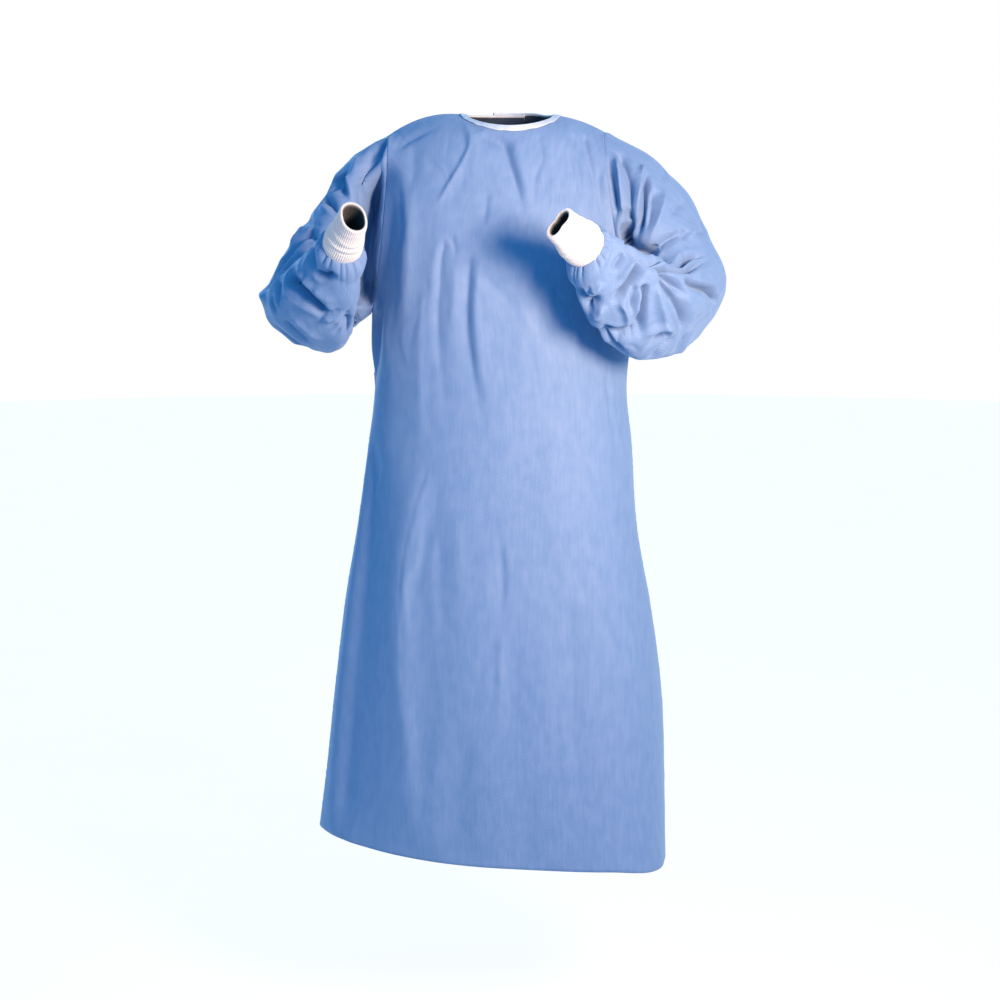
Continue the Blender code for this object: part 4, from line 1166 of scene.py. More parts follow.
FRONT_FOLDS = FoldTable(
    creases(
        MM,
        # the long soft ridge down the right of the skirt
        (((-132, -590), (-147, -690), (-164, -752), (-168, -877), (-159, -970), (-163, -1126)), 4.2, 16, 22,
         0.55, 0.6, 0.2, 0.2),
        # from the neck tape, fanning over the chest
        (((-63, -12), (-62, -45), (-76, -82), (-100, -122), (-118, -148)), 4.4, 7, 5.5, -0.35, 0.75, 0.04,
         0.35),
        (((-46, -30), (-52, -70), (-66, -110)), 2.6, 10, 12, 0, 0.2, 0.1),
        (((-36, -26), (-10, -47), (2, -86), (12, -125), (20, -160)), -10, 13, 8, 0.25, 0.5, 0.06, 0.4),
        (((0, -46), (12, -90), (14, -140)), 2.6, 12, 14, 0, 0.2, 0.2),
        (((-182, -62), (-150, -36), (-100, -20)), -4.5, 11, 9, 0, 0.35),
        (((-150, -40), (-152, -90), (-160, -150)), -3, 11, 14, 0, 0.4),
        (((-35, -122), (-38, -150), (-42, -182)), -2.8, 8, 7, 0.4),
        (((40, -30), (50, -70), (36, -110), (40, -170)), -2.8, 7, 10, 0.4, 0.6, 0.1),
        (((66, -98), (64, -130), (62, -165)), 2.8, 6, 7),
        (((78, -118), (82, -150)), -3, 6, 6),
        (((90, -28), (100, -62), (108, -105), (104, -150)), -6.2, 8, 7, -0.3, 0.6, 0.15),
        (((112, -32), (124, -70), (132, -110), (128, -165)), -7, 7, 6, 0.3, 0.7, 0.12),
        (((141, -80), (139, -122), (143, -160)), -4.5, 5, 6, 0, 0.7),
        # from the armholes, down the sides of the chest
        (((-180, -85), (-172, -170), (-178, -230), (-188, -336), (-190, -450)), -5, 14, 22, 0.35, 0.35,
         0.12, 0.5),
        (((-160, -110), (-156, -200), (-162, -300), (-160, -420)), 3.5, 16, 20, 0.3, 0.3, 0.2),
        (((-196, -110), (-203, -200), (-212, -290), (-216, -360), (-220, -450)), -17, 18, 20, -0.2, 0.2,
         0.2, 0.35),
        (((170, -225), (150, -290), (142, -370)), -5, 12, 18, 0, 0.4),
        # long troughs over the waist
        (((-99, -196), (-108, -225), (-112, -281), (-113, -340), (-106, -430), (-100, -500)), -5.2, 8, 14,
         -0.45, 0.7, 0.1, 0.5),
        (((-60, -214), (-66, -267), (-68, -325), (-60, -397), (-46, -470), (-30, -560)), -6.2, 14, 20, 0.55,
         0.75, 0.1, 0.6),
        (((-50, -226), (-54, -288), (-50, -380), (-38, -450)), 3, 10, 14, -0.4, 0.5),
        (((-86, -226), (-90, -300), (-86, -420)), 3, 10, 13, 0, 0.4),
        (((-136, -240), (-138, -343), (-137, -450), (-140, -569)), 3.6, 12, 18, 0.3, 0.5),
        (((-95, -192), (-86, -204), (-84, -232)), -2.6, 5, 5, 0, 0.8),
        (((-50, -245), (-10, -285), (18, -330)), -3, 10, 14, 0, 0.5),
        (((30, -290), (66, -352), (94, -440)), -3, 12, 18, 0, 0.5),
        (((150, -384), (160, -478), (170, -600)), -4.2, 8, 14, -0.4, 0.7),
        (((96, -420), (104, -520), (106, -640)), -2.4, 12, 18, 0.3, 0.5),
        (((60, -470), (66, -600), (78, -720)), 2.6, 18, 22, 0, 0.3),
        # the skirt
        (((-128, -540), (-146, -610), (-162, -690), (-162, -790), (-158, -890), (-150, -1000),
         (-148, -1150)), 8, 26, 34, 0.45, 0.55, 0.15, 0.08),
        (((-128, -545), (-148, -620), (-165, -700), (-165, -800), (-160, -900)), -2.4, 6, 8, 0.5, 0.9, 0.1,
         0.4),
        (((-214, -480), (-226, -620), (-240, -770), (-256, -960), (-272, -1150)), -10.5, 28, 36, -0.4, 0.15,
         0.2, 0.1),
        (((-112, -640), (-108, -740), (-106, -860)), -2.6, 10, 16, -0.4),
        (((-78, -600), (-80, -700), (-70, -800)), 2.2, 12, 16, 0, 0.4),
        (((-20, -620), (-13, -691), (-12, -734), (-14, -790)), -3.6, 8, 10, 0.5, 0.8, 0.4),
        (((-16, -792), (-16, -860), (-20, -930)), 3, 6, 8, -0.3, 0.8),
        (((6, -820), (4, -900), (-6, -1020)), -2, 12, 20, 0, 0.4),
        (((88, -745), (94, -800), (97, -870), (98, -940), (106, -1040), (110, -1120)), -4, 9, 18, -0.45,
         0.7, 0.15),
        (((50, -780), (56, -900), (56, -1060)), 2.4, 18, 24, 0, 0.3),
        (((106, -1054), (120, -1066), (132, -1092)), -1.8, 5, 6, 0, 0.8),
        (((190, -640), (205, -760), (214, -900)), -4, 14, 22, -0.3, 0.5),
        (((-70, -960), (-78, -1060), (-82, -1160)), -3.4, 16, 26, 0, 0.4, 0.25, 0.12),
        (((-108, -900), (-116, -1030), (-120, -1160)), 3, 14, 20, 0, 0.4, 0.25, 0.12),
        (((30, -1020), (28, -1100), (30, -1168)), -3, 18, 26, 0, 0.3, 0.25, 0.12),
        (((180, -960), (186, -1060), (190, -1172)), -4, 18, 26, 0, 0.3, 0.25, 0.12)),
    crumples=(
        Crumple(34, (0.05, 0.16), (0.0003, 0.0010), (0.004, 0.009), 84.0, 16.0, 11, rows=(0.02, 0.95)),
        Crumple(26, (0.03, 0.08), (0.0004, 0.0012), (0.004, 0.007), 62.0, 36.0, 12, rows=(0.04, 0.45))),
    swells=(
        Unevenness(0.16, 0.0030, 1, (1.0, 1.0, 0.40)),
        Unevenness(0.075, 0.0011, 2, (1.0, 1.0, 0.35), ridged=True)))

BACK_FOLDS = FoldTable(
    creases(
        MM,
        # neck and armholes, below the ties, the skirt, then above the ties; mostly right, left in turn
        (((-72, 0), (-96, -70), (-140, -130)), -8.3, 8, 15, 0, 0.6, 0.12),
        (((74, -2), (94, -80), (126, -140)), -7.5, 8, 15, 0, 0.6, 0.12),
        (((-90, -100), (-115, -220), (-150, -340)), -10.5, 14, 22, 0, 0.4),
        (((85, -110), (105, -210), (135, -345)), -9.7, 14, 22, 0, 0.4),
        (((-190, -180), (-150, -270), (-120, -372)), -9, 12, 20, 0.3),
        (((165, -190), (138, -280), (112, -372)), -8.3, 12, 20, -0.3),
        (((-128, -452), (-146, -560), (-150, -700)), -12, 9, 24, 0.3, 0.6, 0.1),
        (((118, -450), (128, -590), (126, -760)), -12, 9, 24, -0.3, 0.6, 0.1),
        (((-80, -452), (-86, -560), (-104, -720)), -9, 8, 20, 0, 0.6, 0.1),
        (((75, -448), (78, -530), (90, -660)), -9, 8, 20, 0, 0.6, 0.1),
        (((-160, -640), (-168, -860), (-180, -1150)), -15.8, 22, 34, 0, 0.3, 0.25, 0.15),
        (((118, -660), (132, -880), (144, -1160)), -15.8, 22, 34, 0, 0.3, 0.25, 0.15),
        (((-200, -560), (-222, -780), (-240, -1140)), 10.5, 22, 30, 0, 0.2, 0.25, 0.15),
        (((165, -540), (180, -780), (190, -1150)), 10.5, 22, 30, 0, 0.2, 0.25, 0.15),
        (((-92, -900), (-98, -1040), (-104, -1160)), -7.5, 20, 28, 0, 0.2, 0.25, 0.12),
        (((-130, -352), (-90, -372), (-66, -396)), -5.7, 7, 8),
        (((128, -350), (100, -366), (70, -394)), -5.7, 7, 8)),
    crumples=(
        Crumple(40, (0.05, 0.14), (0.0004, 0.0014), (0.005, 0.012), 84.0, 22.0, 21, rows=(0.02, 0.95)),
        Crumple(24, (0.03, 0.08), (0.0005, 0.0015), (0.004, 0.008), 50.0, 40.0, 22, rows=(0.15, 0.5))),
    swells=(
        Unevenness(0.15, 0.0034, 3, (1.0, 1.0, 0.45)),
        Unevenness(0.055, 0.0009, 4, (1.0, 1.0, 0.7))))


@dataclass(frozen=True)
class Hollow:
    """A place where the cloth is drawn back, out of the light, along a route of (x, z) places."""

    route: tuple[Place, ...]
    depth: float
    start: float
    end: float
    near: float = -0.180
    far: float = 0.050
    near_run: float = 0.030
    far_run: float = 0.040
    head: float = 0.25
    tail: float = 0.12

    def pushed(self, grid: Array) -> Array:
        """How far each point of a grid goes back.

        Args:
            grid: rows of points; those nearer the front than `near` or behind `far` stay.

        Returns:
            A distance for each point.
        """
        along, gap, _ = nearest_on(grid[..., (0, 2)].reshape(-1, 2), np.array(self.route))
        half_width = self.start + (self.end - self.start) * along
        y = grid[..., 1].ravel()
        reach = ease((y - self.near) / self.near_run) * ease((self.far - y) / self.far_run)
        ends = ease(along / self.head) * ease((1.0 - along) / self.tail)
        depths = self.depth * bell(np.linalg.norm(gap, axis=1) / half_width) * reach * ends
        return depths.reshape(grid.shape[:2])


@dataclass
class Body:
    """The front and the two overlapping back panels."""

    form: BodyForm = field(default_factory=BodyForm)
    sewing: Seamwork = field(default_factory=lambda: Seamwork(fade_run=0.014, groove=0.0006, pucker=0.0007))
    thickness: float = 0.0006
    tape_width: float = 0.0100
    tape_fade: float = 0.025
    tape_groove_fade: float = 0.010
    overlap: Table = field(default_factory=lambda: table(
        "z_mm half_width_mm lift_mm",
        (-1165, 85, 3.8),
        (-420, 55, 3.4),
        (-100, 32, 3.6),
        (-45, 27, 5.8),
        (10, 25, 5.8)))
    lift_run: float = 0.050
    hollow: Hollow = Hollow(((-0.196, -0.060), (-0.205, -0.130), (-0.213, -0.208), (-0.220, -0.310)),
                            depth=0.036, start=0.022, end=0.022)
    grids: dict[str, Array] = field(default_factory=dict)
    normals: dict[str, Array] = field(default_factory=dict)

    def reaches(self, grid: Array) -> tuple[Array, Array]:
        """Distance of each point from the nearer seam, and how far it is below the neck tape."""
        across = lengths_along(grid, 1)
        return np.minimum(across, across[:, -1:] - across), lengths_along(grid, 0) - self.tape_width

    def face_grid(self, face: Face, columns: int, folds: FoldTable) -> Array:
        """The front or the whole back with its creases pressed in.

        Args:
            face: which of the two.
            columns: how many columns it gets.
            folds: its creases.

        Returns:
            Points, rows by columns, right seam to left seam.
        """
        grid = self.form.grid(face, columns)
        normals = surface_normals(grid)
        reach, below = self.reaches(grid)
        fade = self.sewing.fade(reach) * ease(below / self.tape_fade)
        heights = pressed(grid, normals, folds, fade, nearest_place(grid), closed=False)
        heights += self.sewing.push(reach, lengths_along(grid, 0)) * ease(below / self.tape_groove_fade)
        return grid + normals * heights[..., None]

    def shape(self) -> None:
        """Works out the three panels' grids."""
        self.grids["front"] = self.face_grid(Face.FRONT, self.form.columns, FRONT_FOLDS)
        self.grids["front"][..., 1] += self.hollow.pushed(self.grids["front"])
        back = self.face_grid(Face.BACK, self.form.back_columns, BACK_FOLDS)
        left, right, lifts = [], [], []
        count = self.form.back_columns * 3 // 5
        for line in back[:, ::-1]:
            length = line_length(line)
            height = float(line[len(line) // 2, 2])
            half_width, lift = (float(smooth(self.overlap["z"], self.overlap[name], height))
                                for name in ("half_width", "lift"))
            share = half_width / length
            to_left = np.linspace(0.0, 0.5 + share, count + 1)
            left.append(spread(line, to_left))
            right.append(spread(line, np.linspace(0.5 - share, 1.0, count + 1)))
            lifts.append(lift * ease((to_left * length - (length * 0.5 - half_width - self.lift_run))
                                     / self.lift_run))
        grid = np.array(left)
        self.grids["back_left"] = grid + surface_normals(grid) * np.array(lifts)[..., None]
        self.grids["back_right"] = np.array(right)
        self.meet_at_seams()
        self.normals = {name: surface_normals(grid) for name, grid in self.grids.items()}

    def meet_at_seams(self) -> None:
        """Brings the edges of the front and the back panels together along their seams."""
        for column, back, back_column in ((0, "back_right", -1), (-1, "back_left", 0)):
            for start, stop in ((0, self.form.tip_row + 1), (self.form.pit_row, None)):
                rows = slice(start, stop)
                middle = (self.grids["front"][rows, column] + self.grids[back][rows, back_column]) / 2.0
                self.grids["front"][rows, column] = middle
                self.grids[back][rows, back_column] = middle

    def armhole(self, side: Side) -> Array:
        """The closed seam where a sleeve is set in: down the front edge, up the back edge."""
        column, back, back_column = ((0, "back_right", -1) if side is Side.RIGHT
                                     else (-1, "back_left", 0))
        tip, pit = self.form.tip_row, self.form.pit_row
        down = self.grids["front"][tip:pit + 1, column]
        up = self.grids[back][tip + 1:pit, back_column][::-1]
        return np.concatenate((down, up))

    def dress(self, finishes: Finishes) -> list[Piece]:
        """Makes the three panels and declares their cut."""
        cuts = {"front": dict(flat=(0.76, 1.20), area=0.735),
                "back_left": dict(flat=(0.47, 1.20), area=0.440),
                "back_right": dict(flat=(0.47, 1.20), area=0.437)}
        made = []
        for name, cut in cuts.items():
            piece = cloth_piece(f"{name}_cloth", self.grids[name], self.normals[name],
                                finishes.nonwoven, self.thickness, inside=finishes.inside_painted_shade)
            attach(piece, "nonwoven", (f"{name}_panel",))
            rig.sheet(piece, held="hung", **cut)
            made.append(piece)
        return made

    def at(self, name: str, z: float, share: float, lift: float) -> Array:
        """A point over a panel.

        Args:
            name: the panel.
            z: height of the row it lies on.
            share: how far across the panel it is, from its first column to its last.
            lift: its distance out from the cloth.

        Returns:
            The point.
        """
        grid, normals = self.grids[name], self.normals[name]
        heights = grid[:, int(share * (grid.shape[1] - 1)), 2]
        row = np.array([np.interp(-z, -heights[self.form.pit_row:],
                                  np.arange(self.form.pit_row, len(grid)))])
        column = np.array([share * (grid.shape[1] - 1)])
        point = read_grid(grid, row, column, closed=False)[0]
        return point + unit(read_grid(normals, row, column, closed=False)[0]) * lift


# ----- Sleeves -----

ARM_LINES = ("over", "crook", "under", "elbow")
ARM_COLUMNS = " ".join(f"{line}_{axis}_mm" for line in ARM_LINES for axis in "xyz")

RIGHT_ARM = table(
    ARM_COLUMNS,
    (-256, 10, -69, -232, -60, -175, -234, 10, -325, -235, 100, -170),
    (-299, 10, -132, -258, -84, -195, -247, 14, -335, -273, 94, -213),
    (-342, 0, -196, -274, -94, -212, -254, 14, -335, -315, 85, -268),
    (-376, -40, -258, -281, -100, -221, -262, -5, -330, -360, 42, -324),
    (-377, -88, -283, -281, -112, -222, -255, -38, -330, -341, -12, -355),
    (-355, -135, -282, -277, -128, -216, -246, -80, -328, -310, -70, -366),
    (-330, -172, -268, -270, -158, -204, -241, -122, -308, -271, -132, -352),
    (-302, -208, -244, -262, -192, -190, -228, -168, -268, -248, -186, -310))

LEFT_ARM = table(
    ARM_COLUMNS,
    (228, 5, -69, 193, -95, -165, 208, 10, -325, 212, 100, -170),
    (285, 0, -131, 213, -106, -192, 223, 12, -335, 258, 95, -208),
    (316, -15, -195, 222, -110, -216, 236, 8, -338, 294, 80, -260),
    (327, -52, -230, 226, -116, -233, 242, -12, -335, 316, 35, -318),
    (311, -105, -258, 224, -128, -241, 231, -55, -337, 296, -22, -350),
    (284, -158, -268, 217, -145, -241, 209, -90, -332, 254, -88, -372),
    (245, -205, -264, 196, -175, -230, 176, -128, -318, 206, -150, -374),
    (198, -243, -256, 168, -207, -211, 142, -166, -290, 157, -198, -353),
    (155, -266, -238, 143, -238, -193, 112, -208, -256, 114, -236, -298))

RIGHT_ARM_FOLDS = FoldTable(
    creases(
        1.0,
        # the hollow along the forearm's underside
        (((8.75, 0.57), (8.3, 0.585), (7.85, 0.575), (7.4, 0.565), (6.9, 0.57)), -8, 12, 14, 0, 0.15, 0.15,
         0.25),
        # upper arm
        (((0.05, 0.04), (0.22, 0.09), (0.48, 0.15), (0.7, 0.21)), -15, 9, 11, 0.3, 0.6, 0.1, 0.3),
        (((0.34, 0.06), (0.62, 0.12), (0.92, 0.19), (1.02, 0.24)), -7, 7, 11, -0.3, 0.6, 0.15, 0.3),
        (((0.7, 0.03), (0.95, 0.11), (1.18, 0.17)), 4.7, 8.6, 8.6, 0, 0.5),
        (((1.22, 0.07), (1.36, 0.118), (1.4, 0.185)), -16, 11, 9, 0.5, 0.9, 0.15),
        (((1.3, 0.06), (1.6, 0.082), (1.92, 0.08)), -8.3, 8.6, 6, 0, 0.7),
        (((1.16, 0.1), (1.24, 0.15), (1.3, 0.205)), 5.9, 5.2, 5.2, 0, 0.8),
        (((2.04, 0.068), (2, 0.125), (1.9, 0.195)), -13, 6, 5.5, -0.4, 0.9, 0.15),
        (((2.22, 0.07), (2.2, 0.13), (2.1, 0.19)), 5.3, 6, 5.2, 0, 0.8),
        (((2.45, 0.99), (2.6, 0.06), (2.7, 0.13), (2.65, 0.18)), -7.1, 7.7, 6.9, 0, 0.8),
        (((3, 0.13), (3.3, 0.108), (3.75, 0.08), (3.98, 0.04), (4.05, 0.97)), -17.7, 7.7, 9.5, 0.2, 0.85,
         0.15, 0.3),
        (((2.9, 0.11), (3.1, 0.145), (3.3, 0.19)), -13, 7.7, 8.6, 0, 0.8, 0.2),
        (((2.7, 0.06), (3.05, 0.06), (3.45, 0.035)), 5.9, 6.9, 6.9, 0, 0.8),
        (((4.2, 0.96), (4.6, 0.977), (5.1, 0.99)), 9, 11, 11, 0, 0.7),
        # crook, fanning to the elbow
        (((3.9, 0.3), (3.8, 0.2), (3.7, 0.12)), -13, 8.6, 8.6, 0, 0.6, 0.1),
        (((4.3, 0.25), (4.4, 0.15), (4.45, 0.06), (4.6, 0.99)), -16.5, 7.7, 10.3, 0, 0.8, 0.1),
        (((4.8, 0.25), (5, 0.15), (5.1, 0.06)), -13, 7.7, 8.6, 0, 0.8, 0.1),
        (((4.3, 0.3), (4.4, 0.42), (4.3, 0.58)), -11.8, 8.6, 11.2, 0, 0.6, 0.1),
        (((5.1, 0.3), (5.2, 0.42), (5, 0.56)), -9.4, 7.7, 10.3, 0, 0.6, 0.1),
        # forearm
        (((8.5, 0.12), (8.36, 0.06), (8.3, 0.01), (8.42, 0.95)), -17, 9, 9, 0.3, 0.8, 0.2),
        (((8.25, 0.985), (8.42, 0.91), (8.66, 0.85), (8.78, 0.79)), -15, 7.5, 6, -0.4, 0.9, 0.2),
        (((8, 0.94), (8.1, 0.87), (8.25, 0.8)), 6.5, 8.6, 10.3, 0, 0.5),
        (((5.9, 0.1), (6.5, 0.04), (7.1, 0.995), (7.45, 0.945), (7.62, 0.89), (7.62, 0.83)), -26, 12, 6.5,
         -0.35, 0.85, 0.2, 0.15),
        (((6.4, 0.99), (7, 0.95), (7.36, 0.895), (7.45, 0.84)), 5.3, 6.9, 6, 0.3, 0.7),
        (((6.9, 0.06), (7.4, 0.02), (7.8, 0.96), (7.95, 0.9)), 5.9, 6, 6.9, 0, 0.8),
        (((5.3, 0.06), (5.85, 0.03), (6.1, 0.995), (6.16, 0.96)), -9.4, 5.2, 5.2, 0.3, 0.9),
        (((5.4, 0.01), (5.7, 0.97), (5.9, 0.93)), -7.1, 6, 5.2, 0, 0.8),
        (((7.52, 0.85), (7.75, 0.805), (8.02, 0.755)), 7.7, 5.2, 5.2, 0, 0.85, 0.2),
        (((7.62, 0.86), (7.86, 0.825), (8.12, 0.775)), -5.9, 4.3, 5.2, 0.3, 0.8),
        (((7.3, 0.812), (7.8, 0.765), (8.28, 0.718)), -7.1, 4.3, 4.3, 0, 0.9),
        (((7.2, 0.78), (7.7, 0.745), (8.12, 0.715)), -7.7, 4.3, 5.2, 0, 0.9),
        (((7.95, 0.735), (7.7, 0.71), (7.4, 0.69), (6.9, 0.69)), -13, 6.9, 8.6, 0, 0.7, 0.15),
        (((8.2, 0.56), (7.6, 0.575), (7, 0.59)), -8.3, 6.9, 8.6),
        (((6.2, 0.92), (6.4, 0.85), (6.2, 0.77)), -9.4, 6.9, 7.7, 0.3, 0.8),
        (((6.62, 0.915), (6.8, 0.85), (6.7, 0.78)), 5.3, 6.9, 6.9, 0, 0.7),
        (((5.3, 0.89), (5.6, 0.8), (5.5, 0.7)), -10.6, 7.7, 10.3, -0.3, 0.8),
        (((6.6, 0.64), (7.1, 0.625), (7.6, 0.64)), -6.5, 6.9, 6.9),
        (((8.4, 0.5), (7.6, 0.46), (6.6, 0.48)), -7.1, 6.9, 10.3, 0, 0.7),
        (((8.4, 0.17), (7.6, 0.16), (6.6, 0.18)), -9.4, 6.9, 10.3, 0, 0.7),
        (((8.4, 0.3), (7.6, 0.31), (6.4, 0.28)), -7.1, 6.9, 10.3, 0, 0.7),
        # hidden side of the upper arm
        (((0.9, 0.62), (2.2, 0.66), (3.6, 0.7)), -9.4, 9.5, 13.8, 0.3),
        (((0.5, 0.8), (1.6, 0.84), (3, 0.9)), -8.8, 8.6, 13.8, -0.3),
        (((0.3, 0.7), (1.2, 0.73), (2.4, 0.78)), -8.3, 7.7, 11.2, 0.3),
        (((0.9, 0.5), (2, 0.47), (3.4, 0.42)), -9.4, 8.6, 13.8),
        (((1.2, 0.74), (1.7, 0.8), (1.9, 0.88)), -7.1, 6.9, 8.6, 0, 0.8),
        (((2.6, 0.74), (3.2, 0.82), (3.8, 0.86)), -10, 6.9, 10.3, 0, 0.8),
        (((3, 0.66), (3.7, 0.72), (4.4, 0.74)), -9.4, 7.7, 10.3, 0, 0.8)),
    crumples=(
        Crumple(26, (0.030, 0.075), (0.0010, 0.0032), (0.005, 0.010), 10.0, 30.0, 31, rows=(0.06, 0.92),
                columns=(0.0, 1.0)),
        Crumple(22, (0.020, 0.050), (0.0010, 0.0026), (0.004, 0.007), 65.0, 30.0, 32, rows=(0.35, 0.92),
                columns=(0.0, 1.0))),
    swells=(Unevenness(0.060, 0.0030, 5), Unevenness(0.055, 0.0034, 6, ridged=True)))

ARM_HOLLOW = Hollow(((-0.193, -0.068), (-0.213, -0.135), (-0.226, -0.215), (-0.236, -0.305)),
                    depth=0.076, start=0.005, end=0.027, near=-0.145, far=0.035, head=0.42)

CROOK_HOLLOW = Hollow(((0.174, -0.166), (0.181, -0.192), (0.198, -0.210), (0.228, -0.224)),
                      depth=0.027, start=0.0050, end=0.0075, near=-0.165, far=0.010, head=0.45)

